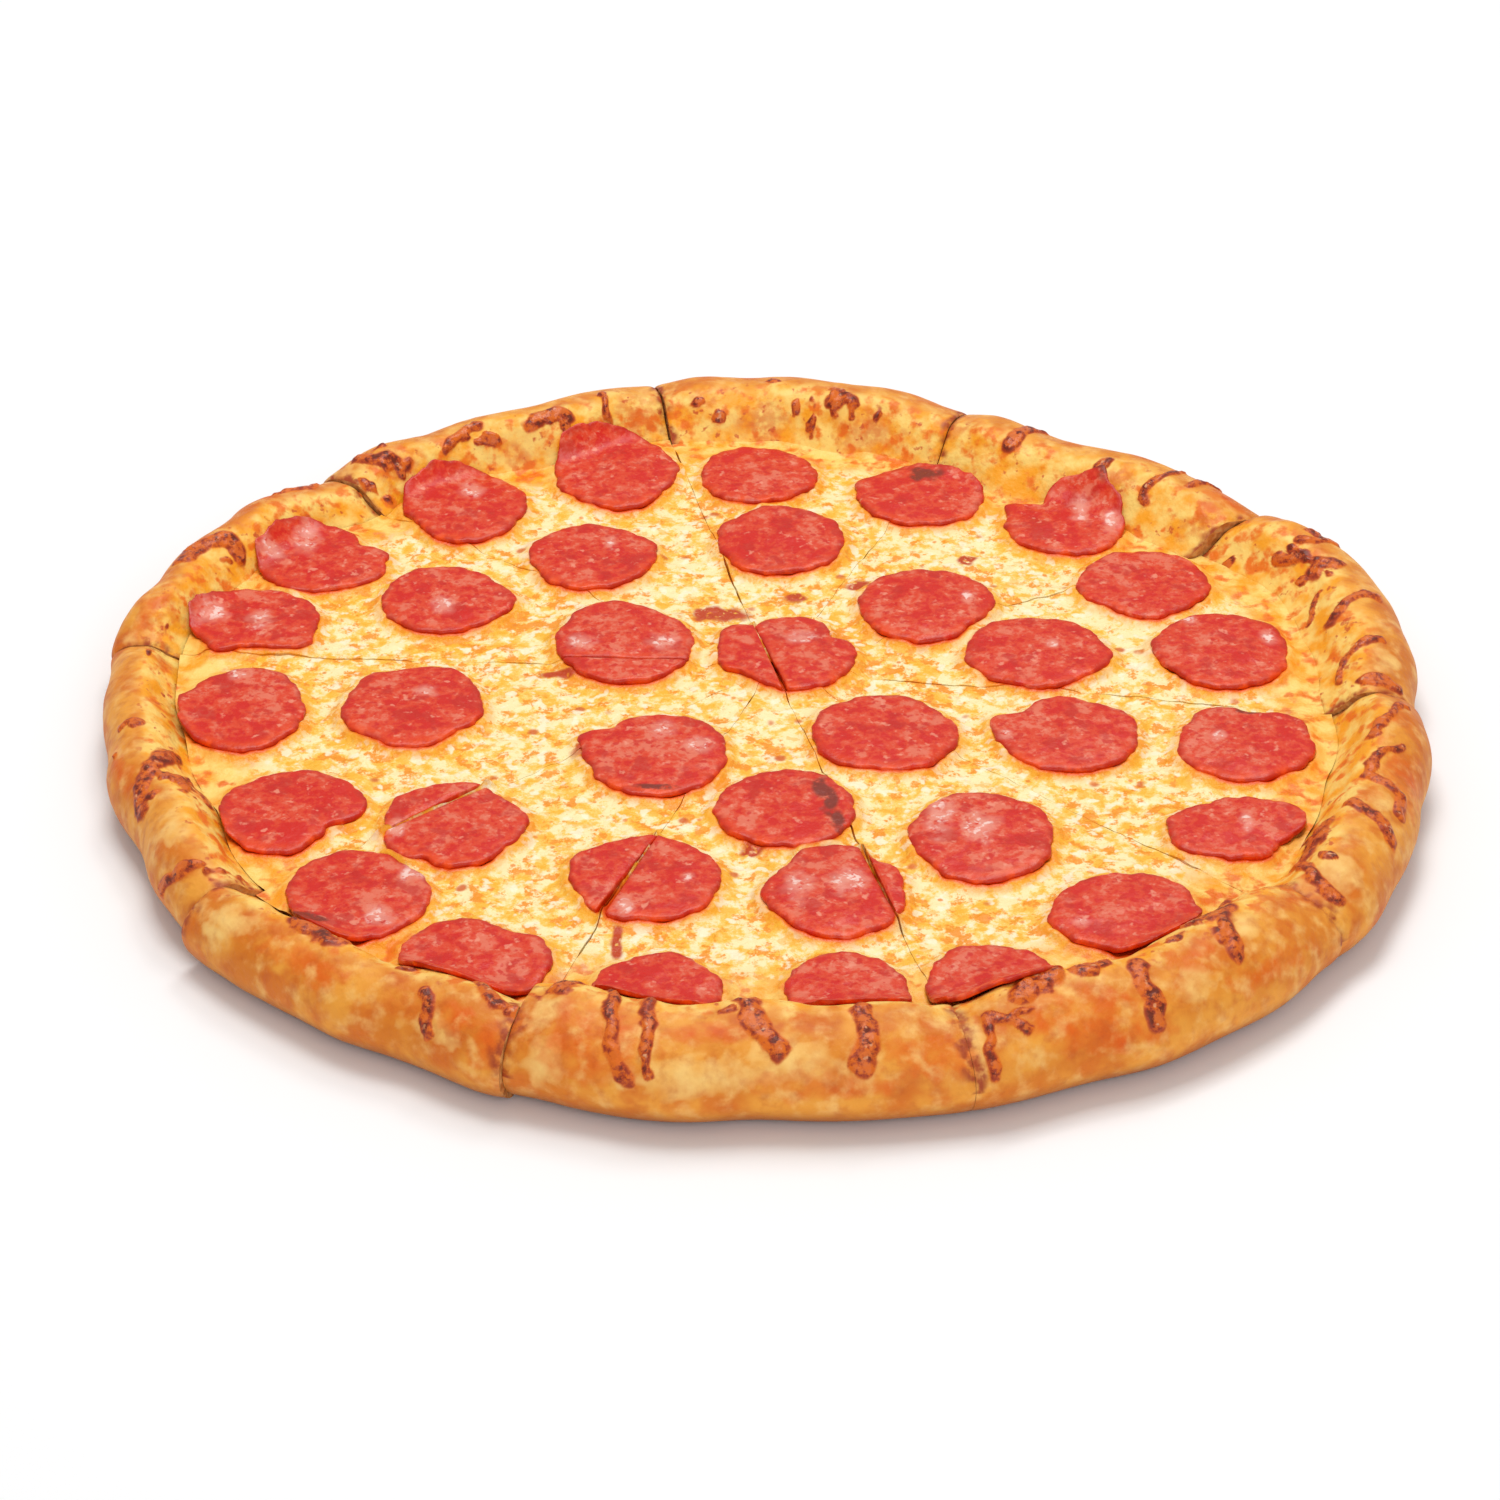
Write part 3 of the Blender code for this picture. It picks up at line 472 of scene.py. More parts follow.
for index in range(len(CUTS)):
    name = f"dough_{index + 1:02d}"
    start, span = CUTS[index, 0], slice_span(index)
    columns = int(np.radians(span) * RIM_RADIUS / RIM_STEP)
    angle = np.linspace(start, start + span, columns)
    under = np.linspace(-1, 0, ROWS_UNDER, endpoint=False)
    outside = np.linspace(0, 1, ROWS_OUTSIDE, endpoint=False)
    around = np.concatenate((under, outside, np.linspace(1, 2, ROWS_INSIDE)))[:, None]
    sizes = rim_sizes(index, angle)
    inwards, height = rim_section(sizes, around)
    places = slice_place(index, angle, inwards, height, sizes[0])
    before, after = rim_section(sizes, around - 0.02), rim_section(sizes, around + 0.02)
    over = np.hypot(after[0] - before[0], after[1] - before[1])
    out_of = (after[1] - before[1]) / over, (after[0] - before[0]) / over
    open_to_air = np.clip((around + 0.9) / 0.5, 0, 1) * np.clip((1.7 - around) / 0.25, 0, 1)
    swell = layered(places, BROAD_LUMPS) + layered(places, FINE_LUMPS) * np.clip(2 * around - 1, 0.2, 1)
    strand = np.zeros(places.shape[:-1])
    ragged = pushed(places, RAGGED)
    for width, path in STRANDS:
        stations = rounded(np.array(path))
        if not start <= (stations[0, 0] - start) % 360 + start < start + span:
            continue
        line_sizes = rim_sizes(index, stations[:, 0])
        line_in, line_height = rim_section(line_sizes, stations[:, 1])
        line = slice_place(index, stations[:, 0], line_in, line_height, line_sizes[0])
        strand = np.maximum(strand, nearness(ragged, line, RIDGE_SPREAD * width))
    wobble = layered(places, WOBBLE)
    strand = np.maximum(strand, SCORCHED_SHARE * spot_cover(SCORCHED, angle, around, wobble))
    from_cut = np.radians(np.minimum(angle - start, start + span - angle)) * RIM_RADIUS
    marks = {
        "strand": strand,
        "browned": spot_cover(BROWNED, angle, around, 0.5 * wobble) ** 0.5,
        "floured": spot_cover(FLOURED, angle, around, 0.5 * wobble) ** 0.5,
        # painted shade along each cut
        "cut_edge": np.clip(1.1 - from_cut / CUT_SHADE_REACH + wobble, 0, 1) * (around > 0),
    }
    relief = RIDGE_RISE * ease(2.2 * strand - 0.3) + strand * layered(places, RIDGE_LUMPS)
    shut = ease(-2 * sin_deg(angle) - 0.6)
    press = CUT_PRESS + (CUT_PRESS_SHUT - CUT_PRESS) * shut
    swell = (swell + relief - press * np.exp(-from_cut / CUT_PRESS_REACH)) * open_to_air
    inwards = inwards - out_of[0] * swell
    height = height + out_of[1] * swell
    places = slice_place(index, angle, inwards, height, sizes[0])
    run = np.sign(angle - start - span / 2) * CUT_CLOSED * shut * np.exp(-from_cut / CUT_CLOSED_REACH)
    places[..., 0] -= run * sin_deg(angle)
    places[..., 1] += run * cos_deg(angle)
    tips = [slice_place(index, angle, sizes[0], level, sizes[0])[None] for level in (0.0, BED_HEIGHT)]
    tips = [np.broadcast_to(tip.mean(axis=(0, 1)), tip.shape) for tip in tips]
    places = np.concatenate((tips[0], places, tips[1]))
    rows = len(places)
    marks = {mark: np.pad(values, ((1, 1), (0, 0))) for mark, values in marks.items()}
    marks["around"] = np.concatenate((around[:1], around, around[-1:])) * np.ones(columns)
    faces = grid_faces(rows, columns)
    numbers = np.arange(rows * columns).reshape(rows, columns)
    faces += [numbers[::-1, 0].tolist(), numbers[:, -1].tolist()]
    piece = new_piece(f"crust_{index + 1:02d}", places, faces, (crust, crumb), marks)
    looks = np.zeros(len(faces), np.int32)
    looks[-2:] = 1
    piece.data.polygons.foreach_set("material_index", looks)
    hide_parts(name)

# The cheese: shredded, melted and run together over the bed, cream where it is thick and yellow to orange
# where its oil has come out, with small browned dots. It thins out on the rim's inner slope.
CHEESE_TOP = 12.5
CHEESE_WAVE = 0.3
CHEESE_EDGE = 5 / 3
CLEARANCE = 0.35
CHEESE_STEP = 0.7
CHEESE_REACH = 150
CHEESE_ROWS = 221
CHEESE_TIP = 0.004
MELD = 3.4
CHEESE_LUMPS = ((0.4, 8, 21), (0.3, 3.5, 22), (0.15, 1.8, 24))
FILM = 0.5
EDGE_DIVE = 0.9
EDGE_DIVE_SHARE = 0.04

# How high the cheese swells at a sausage slice, how far out that is highest and how far it reaches, and how
# far the oil runs
SWELL = 1.5
SWELL_OUT = 0.5
SWELL_REACH = 1.8
OIL_REACH = 2.6


def cheese_level(x, y):
    """The cheese's upper surface away from the rim: two crossing sets of long low waves."""
    waves = np.sin(x / 13 + 0.7) * np.cos(y / 15) + np.sin((x + y) / 19 + 2)
    return CHEESE_TOP + CHEESE_WAVE * waves


def soft_max(first, second, reach):
    """The larger of two heights, rounded up by at most a quarter of the reach where they are close."""
    return np.maximum(first, second) + np.clip(reach - np.abs(first - second), 0, None) ** 2 / (4 * reach)


def slice_of(angle):
    """The number of the slice that holds each angle, and the angle counted on from the first cut."""
    angle = (angle - CUTS[0, 0]) % 360 + CUTS[0, 0]
    return np.clip(np.searchsorted(CUTS[:, 0], angle, side="right") - 1, 0, len(CUTS) - 1), angle


def top_level(x, y):
    """The highest surface of dough or cheese: the rim's section worked back from a point's distance in."""
    index, angle = slice_of(np.degrees(np.arctan2(y - CUT_CENTRE[1], x - CUT_CENTRE[0])))
    outer, inset, slope, crest = rim_sizes(index, angle)
    inwards = outer - np.hypot(x - CUT_CENTRE[0], y - CUT_CENTRE[1])
    lean = np.arccos(np.clip(1 - inwards / inset, 0, 1))
    outside = WIDEST_HEIGHT + (crest - WIDEST_HEIGHT) * np.sin(lean)
    inside = crest + (BED_HEIGHT - crest) * ease((inwards - inset) / slope)
    return np.where(inwards < inset, outside, soft_max(inside, cheese_level(x, y), MELD) + CLEARANCE)


# The sausage slices' middles, widths and depths, then dents and bumps of their edges as (direction, size,
# spread). They stand here because the cheese wells up and goes orange round each of them.
SAUSAGES = {
    "01": (-43, 124, 36, 42, ((235, -2, 25),)),
    "02": (-1, 122.5, 34, 34, ()),
    "03": (5.5, 84, 36, 37, ((150, 1.5, 14),)),
    "04": (46, 111, 37, 34, ((265, 1, 20), (155, 1.5, 12))),
    "05": (87, 94.5, 34, 36, ((55, 2, 9), (85, -1, 15), (120, -5, 15), (148, 2.5, 10))),
    "06": (107, 60, 36, 37, ((0, 1.5, 20), (240, -1.5, 22), (315, -1.5, 22))),
    "07": (126, 24, 37, 39, ()),
    "08": (46, 47.5, 38, 38.5, ((320, -2.5, 28),)),
    "09": (76, 22.5, 39, 36, ((180, 1.5, 22), (20, -1, 20))),
    "10": (128, -25, 36, 36, ((110, 1.5, 18), (80, -1.5, 14), (38, 2.5, 18))),
    "11": (81, -20, 38, 35, ((158, 3, 12), (132, -2, 14), (100, 1, 18), (30, 1.5, 16), (210, -1.5, 20))),
    "12": (33, -19.5, 39, 38, ()),
    "13": (7, 22, 38, 39.5, ((36, -4, 12), (228, -3, 20), (145, 2, 14), (118, -2, 9))),
    "14": (-37, 27, 38, 41, ((115, 2.5, 28), (55, -2.5, 28))),
    "15": (-47.5, 74.5, 36, 37, ((310, -1.5, 22),)),
    "16": (-86, 103, 36, 42, ((225, -3.5, 26),)),
    "17": (-88, 50.5, 36, 35, ((0, 1.5, 16), (42, -1.5, 20))),
    "18": (-124.5, 73, 36, 36, ((8, 1.5, 14), (38, -5, 18), (325, 1.5, 22))),
    "19": (-140, 39, 36, 33, ((243, 2.5, 10), (270, -2, 14), (318, 3, 14))),
    "20": (-138.5, -8.5, 33, 41, ((165, 2, 18),)),
    "21": (-93, -6.5, 38, 41, ((75, 1.5, 14), (130, 1, 16), (312, -2, 24))),
    "22": (-28, -30, 39, 40, ((155, 2.5, 12), (130, -2, 14), (195, -2, 18))),
    "23": (-121, -58.5, 38, 39, ((330, -5.5, 20), (300, -5, 22))),
    "24": (-79, -64.5, 37, 39, ((48, -1.5, 12), (247, -2.5, 10))),
    "25": (-101.5, -96.5, 37, 41, ((52, -1.5, 20), (200, -1.5, 18))),
    "26": (-70, -124.5, 38, 34, ((60, -2.5, 26), (135, 1.5, 20), (300, 1.5, 22))),
    "27": (-29, -89, 38.5, 38.5, ((150, 1.5, 15), (215, -2, 22))),
    "28": (6.5, -56, 36.5, 36, ()),
    "29": (19, -94, 36, 42, ((52, -3.5, 14), (138, -2.5, 22))),
    "30": (57, -69.5, 37, 40.5, ()),
    "31": (122, -64.5, 35, 28, ((25, 2.5, 18), (130, -2, 24), (330, -2.5, 18), (215, 2, 20))),
    "32": (91, -103.5, 37, 34, ((130, -2, 24), (190, 1, 20), (40, 1.5, 18))),
    "33": (57, -134, 33, 32, ((232, 4, 22),)),
    "34": (21, -137, 30, 30, ((330, 2, 20),)),
    "35": (-25, -138, 32, 30, ()),
}

# The sausage slices that a cut parts: the cut, the gap between the two parts, how far the second one turned,
# and how high the cheese stands in the gap
PARTED = {
    "13": (103.0, 0.6, 2.0, 1.8),
    "14": (177.4, 0.5, 0.0, 0.0),
    "24": (220.0, 0.9, 3.0, 2.6),
    "27": (250.7, 1.1, -4.0, 2.6),
    "29": (284.3, 0.7, 2.0, 1.4),
}
SLIT_REACH = 0.55
SLIT_LENGTH = 23
SLIT_FADE = 5

# The sausage's edge: slow waves as (size, count a turn, start in turns of the slice's own), then ripples
DISC_WAVES = ((0.35, 3, 1), (0.3, 5, 2))
RIPPLES = (8, 14, 23, 37)
RIPPLE = 3.4
DISC_TURN = 47


def sausage_radius(name, direction):
    """How far a sausage slice's edge is from its middle.

    It is an ellipse with sine waves, then ripples, each a sine wave that a slower one swells, and bumps like
    bell curves.
    """
    _, _, width, depth, bumps = SAUSAGES[name]
    radius = width * depth / 2 / np.hypot(depth * cos_deg(direction), width * sin_deg(direction))
    turn = DISC_TURN * int(name)
    slow = [(size, count, step * turn) for size, count, step in DISC_WAVES]
    radius = radius + sum_of_waves(slow, direction)
    for count in RIPPLES:
        ripple = sin_deg(count * (direction + turn)) * sin_deg((count // 3 + 1) * direction + turn)
        radius = radius + RIPPLE / count * ripple
    for towards, size, spread in bumps:
        radius = radius + size * np.exp(-((((direction - towards + 180) % 360 - 180) / spread) ** 2))
    return radius


# Browned spots of the cheese, as (x, y, width, depth)
TOASTED = (
    (-52, 13, 14, 4), (-46, -27, 9, 8), (-12, 46, 18, 7), (10, 56, 6, 5), (27, 61, 7, 5), (58, 76, 5, 6),
    (64, -15, 6, 4), (-2, -73, 6, 6), (-35.5, -115, 3, 15), (-96, -13, 6, 6),
)  # fmt: skip

cheese, shader, place = new_material("melted_cheese", gloss=0.3, coat=0.08, coat_roughness=0.3)
oil, toast, by_rim = (mark_of(place, name) for name in ("oil", "toast", "by_rim"))
region = place.noise(28, 2, seed=1) * 0.2 + 0.05 * oil
yellow = place.noise(6, 5, seed=3, rough=0.68) + region
skin = yellow.between(0.56, 0.64).tint(colour(255, 236, 176), colour(254, 206, 96))
skin = yellow.between(0.63, 0.7).tint(skin, colour(252, 186, 50))
orange = place.noise(4.5, 5, seed=10, rough=0.68) + region
skin = (orange.between(0.63, 0.7) * 0.95).tint(skin, colour(246, 148, 16))
skin = (place.noise(2.8, 3, seed=11).between(0.56, 0.64) * 0.6).tint(skin, colour(250, 180, 56))
# Near-white patches: the palest cheese, and painted highlights
skin = (place.noise(4, 3, seed=12).between(0.55, 0.64) * 0.85).tint(skin, colour(255, 244, 208))
skin = by_rim.between(0.2, 0.9).tint(skin, thin_cheese(place))
dots = place.cells(8, seed=1).between(0.26, 0.12) * place.noise(14, 2, seed=5).between(0.44, 0.52)
skin = (dots * 0.9).tint(skin, colour(214, 96, 34))
specks = place.cells(4, seed=3).between(0.24, 0.12) * place.noise(16, 2, seed=6).between(0.45, 0.53)
skin = (specks * 0.85).tint(skin, colour(236, 132, 34))
skin = (oil * place.noise(4, 3, seed=4).between(0.2, 0.5)).tint(skin, colour(250, 158, 30))
skin = oil.between(0.66, 0.98).tint(skin, colour(234, 80, 14))
toasted = toast.between(0.0, 0.7) * place.noise(2, 3, seed=7).between(0.3, 0.46)
skin = toasted.tint(skin, colour(196, 66, 14))
rough = 0.45 - 0.12 * oil
relief = place.noise(2, 4, seed=8) * 0.7 + place.noise(6, 3, seed=9)
finish_material(shader, skin, rough, relief, 1.0)

for index in range(len(CUTS)):
    name = f"cheese_{index + 1:02d}"
    start, span = CUTS[index, 0], slice_span(index)
    columns = int(np.radians(span) * CHEESE_REACH / CHEESE_STEP)
    angle = np.linspace(start, start + span, columns)
    sizes = rim_sizes(index, angle)
    outer, inset, slope, _ = sizes
    edge = inset + slope * (CHEESE_EDGE - 1)
    reach = outer - KERF / 2 / sin_deg(span / 2) * cos_deg(angle - start - span / 2)
    part = np.linspace(CHEESE_TIP, 1, CHEESE_ROWS)[:, None]
    inwards = reach + (edge - reach) * part
    bed = rim_section(sizes, 1 + (inwards - inset) / slope)[1]
    places = slice_place(index, angle, inwards, bed, outer)
    x, y = places[..., 0], places[..., 1]
    flat = places * (1, 1, 0)
    ridge = layered(flat, CHEESE_LUMPS)
    level = cheese_level(x, y) + ridge
    oil = np.zeros(x.shape)
    for sausage, (middle_x, middle_y, *_) in SAUSAGES.items():
        away = np.hypot(x - middle_x, y - middle_y)
        direction = np.degrees(np.arctan2(y - middle_y, x - middle_x))
        gap = away - sausage_radius(sausage, direction)
        level = level + SWELL * np.exp(-(((gap - SWELL_OUT) / SWELL_REACH) ** 2))
        oiled = np.exp(-((np.maximum(gap, 0) / OIL_REACH) ** 2))
        oil = np.maximum(oil, oiled * (0.55 - 0.45 * sin_deg(direction)))
    for side, turn in ((0, -1), (-1, 1)):
        cut = np.array((cos_deg(angle[side]), sin_deg(angle[side])))
        from_tip = (x[:, side] - CUT_CENTRE[0]) * cut[0] + (y[:, side] - CUT_CENTRE[1]) * cut[1]
        line = CUT_CENTRE + from_tip[:, None] * cut
        shut = 0.8 + 1.4 * lumps(np.pad(line, ((0, 0), (0, 1))), 9, 25) + np.exp(-from_tip / 40)
        run = CUT_CLOSED * ease(shut)[:, None]
        from_cut = from_tip[:, None] * np.radians(np.abs(angle - angle[side]))
        run = turn * run * np.exp(-from_cut / CUT_CLOSED_REACH)
        x, y = x - run * cut[1], y + run * cut[0]
        for sausage, (parting, _, _, rise) in PARTED.items():
            if abs((parting - angle[side] + 180) % 360 - 180) < 0.01:
                along = np.abs(from_tip - (np.array(SAUSAGES[sausage][:2]) - CUT_CENTRE) @ cut)[:, None]
                inside = np.clip((SLIT_LENGTH - along) / SLIT_FADE, 0, 1)
                level = level + rise * inside * np.exp(-((from_cut / SLIT_REACH) ** 2))
    film = bed + CLEARANCE + FILM * np.clip((1 - part) * 12, 0, 1) + 0.3 * ridge
    level = soft_max(level, film, MELD)
    level = level - EDGE_DIVE * np.clip(1 - (1 - part) / EDGE_DIVE_SHARE, 0, 1)
    toast = np.zeros(x.shape)
    for middle_x, middle_y, width, depth in TOASTED:
        away = np.hypot((x - middle_x) / width, (y - middle_y) / depth) * 2
        toast = np.maximum(toast, np.clip(1.3 - away + 0.5 * lumps(places, 2.5, 23), 0, 1))
    places = np.stack((x, y, level), axis=-1)
    walls = [places[:, side] * (1, 1, 0) + (0, 0, BED_HEIGHT) for side in (slice(1), slice(-1, None))]
    places = np.concatenate((walls[0], places, walls[1]), axis=1)
    marks = {"oil": oil, "toast": toast, "by_rim": ease((part - 0.8) / 0.2) * np.ones(x.shape)}
    marks = {mark: np.pad(values, ((0, 0), (1, 1)), mode="edge") for mark, values in marks.items()}
    faces = grid_faces(*places.shape[:2])
    piece = new_piece(f"melted_{index + 1:02d}", places, faces, (cheese,), marks)
    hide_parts(name)

# The sausage: thin slices of a cured red sausage with flecks of fat and painted glints. The heat has made
# them oily and a little domed, and those by the rim lean on it. The cutter went through five of them.
SAUSAGE_THICK = 1.8
SAUSAGE_LIFT = 0.15
SAUSAGE_DOME = 0.5
SAUSAGE_SIDES = 180
SAUSAGE_RINGS = 20
SETTLE_REACH = 5.0
SETTLE_BLEND = 1.0
SETTLE_RINGS = ((1.0, 12), (0.5, 6))
WRINKLES = ((0.22, 7, 31), (0.1, 3, 32))
SPOT_EDGES = ((0.4, 2.5, 33),)

# The slice's rings at its edge: how far out each is, the drop of the first four, and the height of the others
EDGE_RINGS = (0.955, 0.98, 0.995, 1.0, 0.998, 0.98, 0.9, 0.6)
EDGE_DROPS = (0.05, 0.2, 0.45, 0.8)
EDGE_HEIGHTS = (0.5, 0.1, 0.0, 0.0)

# Pale spots on the sausage, partly flecks of fat and partly painted glints, and scorched spots with a row of
# painted shade along a cut, as (x, y, width, depth)
PALE = (
    (-129, 83, 8, 17), (-139, 75, 8, 7), (-152, 41, 9, 13), (-138, 37, 7, 12), (-84, 111, 8, 11),
    (-88, 46, 7, 9), (-49, 26, 8, 8), (-27, 26, 9, 8), (-43, 81, 4, 8), (-141, 8, 6, 10), (-90, 0, 7, 7),
    (-26, -19, 8, 10), (-16, -27, 9, 8), (-34, -102, 5, 9), (-18, -90, 4, 5), (-94, -67, 6, 12),
    (-95, -107, 9, 9), (-88, -87, 8, 10), (11, 29, 9, 8), (91, 100, 6, 11), (100, 93, 5, 11),
    (139, 29, 5, 8), (118, 40, 5, 6), (57, 50, 5, 7), (80, 25, 4, 5), (10, -94, 8, 14), (22, -91, 10, 13),
    (46, -61, 10, 22), (56, -66, 10, 16), (80, -109, 4, 5), (125, -63, 4, 10), (65, -20, 5, 6),
    (121, -22, 5, 6),
)  # fmt: skip
SCORCHES_AND_CUT_SHADE = (
    (47, 122, 11, 9), (99, 112, 7, 12), (131, -8, 9, 5), (-28, -47, 14, 3), (-112, -110, 9, 7),
    # The three spots in a row from (15.5, -47) to (20, -62) are painted shade along the cut across slice 28
    (15.5, -47, 4.5, 12), (18, -54, 5, 14), (20, -62, 4.5, 12), (-36, -60, 5, 3),
)  # fmt: skip


def cover_of(spots, x, y, wobble):
    """How far inside the nearest spot each point lies: 1 at its middle, 0 at its edge, which wobbles."""
    cover = np.zeros(x.shape)
    for middle_x, middle_y, width, depth in spots:
        away = np.hypot((x - middle_x) / width, (y - middle_y) / depth)
        cover = np.maximum(cover, 1.2 - 2 * away + wobble)
    return np.clip(cover, 0, 1)


def settled_level(x, y):
    """The height at which something soft lies: the mean of the surface round a point, but never below it."""
    around = [top_level(x, y)]
    for share, spots in SETTLE_RINGS:
        for turn in np.arange(0, 360, 360 / spots):
            reach = share * SETTLE_REACH
            around.append(top_level(x + reach * cos_deg(turn), y + reach * sin_deg(turn)))
    return soft_max(np.mean(around, axis=0), around[0], SETTLE_BLEND)


def one_side(outline, cut, gap, side):
    """An outline held to one side of a cut: points past it are drawn in towards the middle of the others."""
    normal = side * np.array((-sin_deg(cut), cos_deg(cut)))
    depth = (outline - CUT_CENTRE) @ normal - gap / 2
    middle = outline[depth > 0].mean(axis=0)
    inside = (middle - CUT_CENTRE) @ normal - gap / 2
    share = np.where(depth < 0, inside / (inside - depth), 1)
    return middle + (outline - middle) * share[:, None]


def turned(outline, angle):
    """An outline turned about its own middle."""
    middle = outline.mean(axis=0)
    turn = np.array(((cos_deg(angle), sin_deg(angle)), (-sin_deg(angle), cos_deg(angle))))
    return middle + (outline - middle) @ turn


sausage, shader, place = new_material("cured_sausage", gloss=0.25, coat=0.14, coat_roughness=0.26)
edge, front, fat_and_painted_glint, scorch_and_cut_shade = (mark_of(place, name) for name in ("edge", "front", "pale", "scorch_and_cut_shade"))
meat = place.noise(4.5, 5, seed=2, rough=0.65) + place.noise(18, 2, seed=1) * 0.3
skin = meat.between(0.56, 0.65).tint(colour(212, 26, 4), colour(222, 64, 28))
skin = meat.between(0.65, 0.77).tint(skin, colour(228, 112, 84))
skin = (place.noise(6, 4, seed=8).between(0.54, 0.64) * 0.75).tint(skin, colour(196, 26, 8))
skin = (place.noise(2.6, 3, seed=3).between(0.55, 0.64) * 0.8).tint(skin, colour(206, 24, 4))
# Small pale pink specks: flecks of fat, and painted glints
skin = (place.noise(2.6, 3, seed=4).between(0.6, 0.72) * 0.8).tint(skin, colour(238, 146, 118))
# Orange-red round the rim, strongest on the front side: oil, and painted light that brightens side walls
# lying in shade
oil_and_painted_light = edge.between(0.76, 1.0) * (0.2 + 0.8 * front) * place.noise(6, 3, seed=12).between(0.3, 0.6)
skin = oil_and_painted_light.tint(skin, colour(240, 78, 4))
dark_edge = edge.between(0.86, 1.0) * place.noise(5, 4, seed=13).between(0.4, 0.56) * 0.8
skin = dark_edge.tint(skin, colour(186, 30, 6))
# Pale spots: flecks of fat and painted glints of light, whitest in their middles
skin = (fat_and_painted_glint * place.noise(2.4, 3, seed=9).between(0.3, 0.5) * 0.8).tint(skin, colour(236, 158, 138))
palest = fat_and_painted_glint.between(0.3, 0.9) * place.noise(1.8, 2, seed=10).between(0.5, 0.62)
skin = palest.tint(skin, colour(246, 206, 194))
# Dark red-brown: scorched spots, and painted shade along a cut
scorched_and_cut_shade = scorch_and_cut_shade.between(0.1, 0.6) * place.noise(2, 3, seed=11).between(0.25, 0.5)
skin = scorched_and_cut_shade.tint(skin, colour(132, 42, 22))
relief = place.noise(1.6, 3, seed=5) * 0.6 + place.noise(5, 2, seed=6)
finish_material(shader, skin, place.noise(6, 2, seed=7) * 0.3 + 0.24, relief, 0.45)

for name, (middle_x, middle_y, *_) in SAUSAGES.items():
    direction = np.linspace(0, 360, SAUSAGE_SIDES, endpoint=False)
    radius = sausage_radius(name, direction)
    outline = np.stack((cos_deg(direction), sin_deg(direction)), axis=-1) * radius[:, None]
    outline = outline + (middle_x, middle_y)
    outlines = {name: outline}
    if name in PARTED:
        cut, gap, turn, _ = PARTED[name]
        outlines = {
            name + "a": one_side(outline, cut, gap, 1),
            name + "b": turned(one_side(outline, cut, gap, -1), turn),
        }
    for label, outline in outlines.items():
        middle = outline.mean(axis=0)
        inner = np.linspace(0.02, 0.92, SAUSAGE_RINGS)
        domed = SAUSAGE_THICK + SAUSAGE_DOME * (1 - inner**2)
        rise = np.concatenate((domed, SAUSAGE_THICK - np.array(EDGE_DROPS), EDGE_HEIGHTS))[:, None]
        part = np.concatenate((inner, EDGE_RINGS))[:, None]
        x, y = (middle[axis] + part * (outline[:, axis] - middle[axis]) for axis in (0, 1))
        flat = np.stack((x, y, np.full(x.shape, 3.0 * int(name))), axis=-1)
        wrinkle = layered(flat, WRINKLES) * (rise > EDGE_HEIGHTS[0])
        level = settled_level(x, y) + SAUSAGE_LIFT + rise + wrinkle
        places = np.stack((x, y, level), axis=-1)
        rows, columns = x.shape
        faces = grid_faces(rows, columns, closed=True)
        last = (rows - 1) * columns
        faces += [list(range(columns))[::-1], list(range(last, last + columns))]
        faces = [face[::-1] for face in faces]
        out = np.stack((x, y), axis=-1) - middle
        ragged = layered(flat, SPOT_EDGES)
        marks = {
            "pale": cover_of(PALE, x, y, ragged),
            "scorch_and_cut_shade": cover_of(SCORCHES_AND_CUT_SHADE, x, y, ragged),
            "edge": part * np.ones(columns),
            "front": np.clip(-out[..., 1] / np.hypot(out[..., 0], out[..., 1]).clip(1e-6), 0, 1),
        }
        piece = new_piece(f"slice_{label}", places, faces, (sausage,), marks)
        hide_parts(f"pepperoni_{label}")

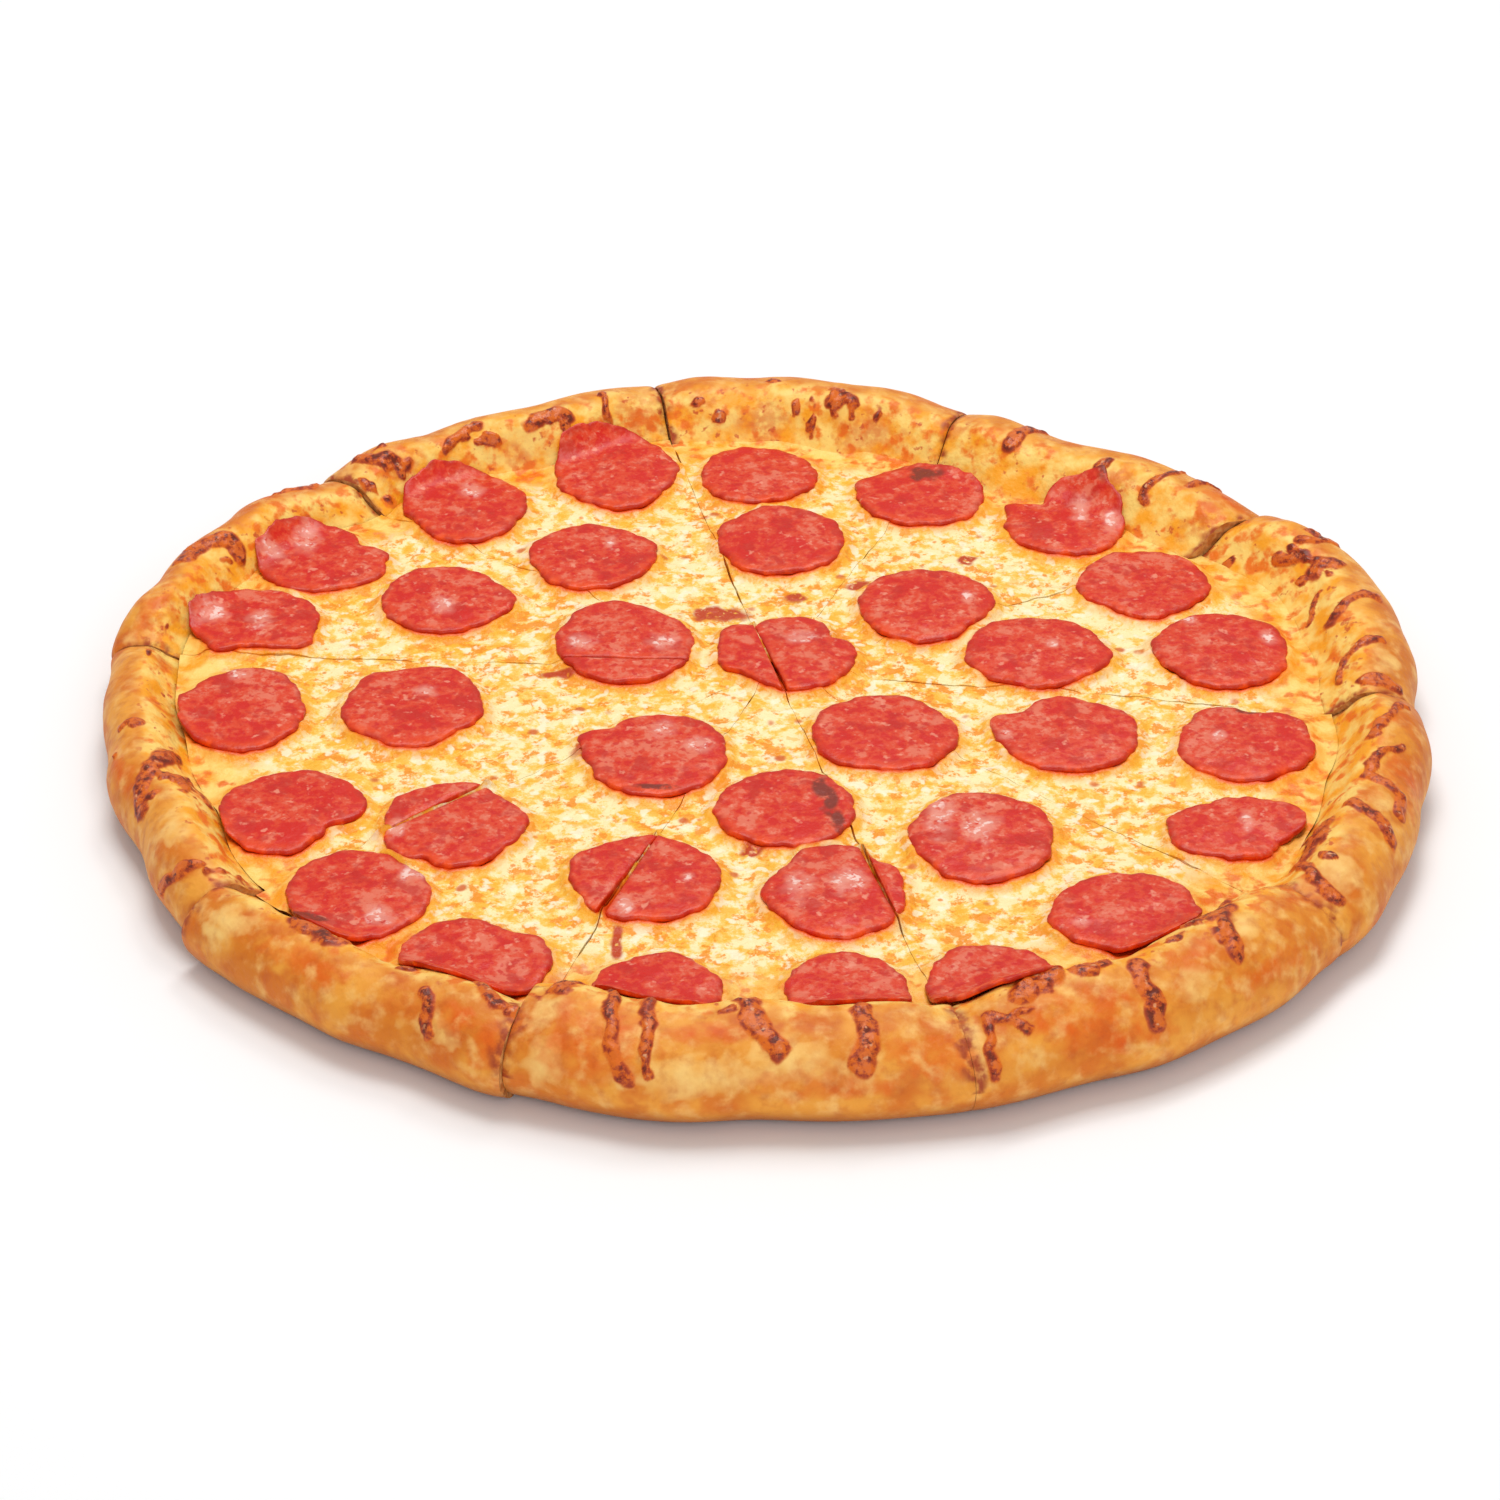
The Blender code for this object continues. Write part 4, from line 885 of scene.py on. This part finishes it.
# The plain pale floor, just under the pizza, the soft studio light, and the camera, at the angle from which
# the photograph was taken. Sizes from here on are in metres.
FLOOR_HALF = 3
FLOOR_HEIGHT = -0.0005
LIGHTS = (
    ("key", (-0.15, 0.35, 1.6), 11.2, 0.7),
    ("fill", (0.35, -1.6, 0.9), 8.8, 1.2),
    ("back", (0.3, 1.0, 1.6), 6.5, 0.5),
)
WORLD_LIGHT = 0.46
CAMERA_SPOT = (0.0016, -1.0443, 0.6539)
CAMERA_AIM = (-0.0029, -0.0051, 0)

corners = [(x * FLOOR_HALF, y * FLOOR_HALF, FLOOR_HEIGHT) for x, y in ((-1, -1), (1, -1), (1, 1), (-1, 1))]
floor_mesh = bpy.data.meshes.new("floor")
floor_mesh.from_pydata(corners, [], [(0, 1, 2, 3)])
floor = bpy.data.objects.new("floor", floor_mesh)
bpy.context.scene.collection.objects.link(floor)
pale, shader, place = new_material("pale_floor")
shader.inputs["Base Color"].default_value = colour(250, 250, 250)
shader.inputs["Roughness"].default_value = 0.8
floor_mesh.materials.append(pale)

for name, spot, energy, size in LIGHTS:
    light = bpy.data.lights.new(name, "AREA")
    light.energy = energy
    light.size = size
    lamp = bpy.data.objects.new(name, light)
    lamp.location = spot
    lamp.rotation_euler = (-Vector(spot)).to_track_quat("-Z", "Y").to_euler()
    bpy.context.scene.collection.objects.link(lamp)

world = bpy.data.worlds.new("studio")
world.use_nodes = True
world.node_tree.nodes["Background"].inputs["Color"].default_value = (1, 1, 1, 1)
world.node_tree.nodes["Background"].inputs["Strength"].default_value = WORLD_LIGHT
bpy.context.scene.world = world
bpy.context.scene.view_settings.view_transform = "Standard"

camera = bpy.data.objects.new("camera", bpy.data.cameras.new("camera"))
camera.data.lens = 109.2
camera.data.sensor_width = 36
camera.location = CAMERA_SPOT
aim = Vector(CAMERA_AIM) - camera.location
camera.rotation_euler = aim.to_track_quat("-Z", "Y").to_euler()
bpy.context.scene.collection.objects.link(camera)
bpy.context.scene.camera = camera
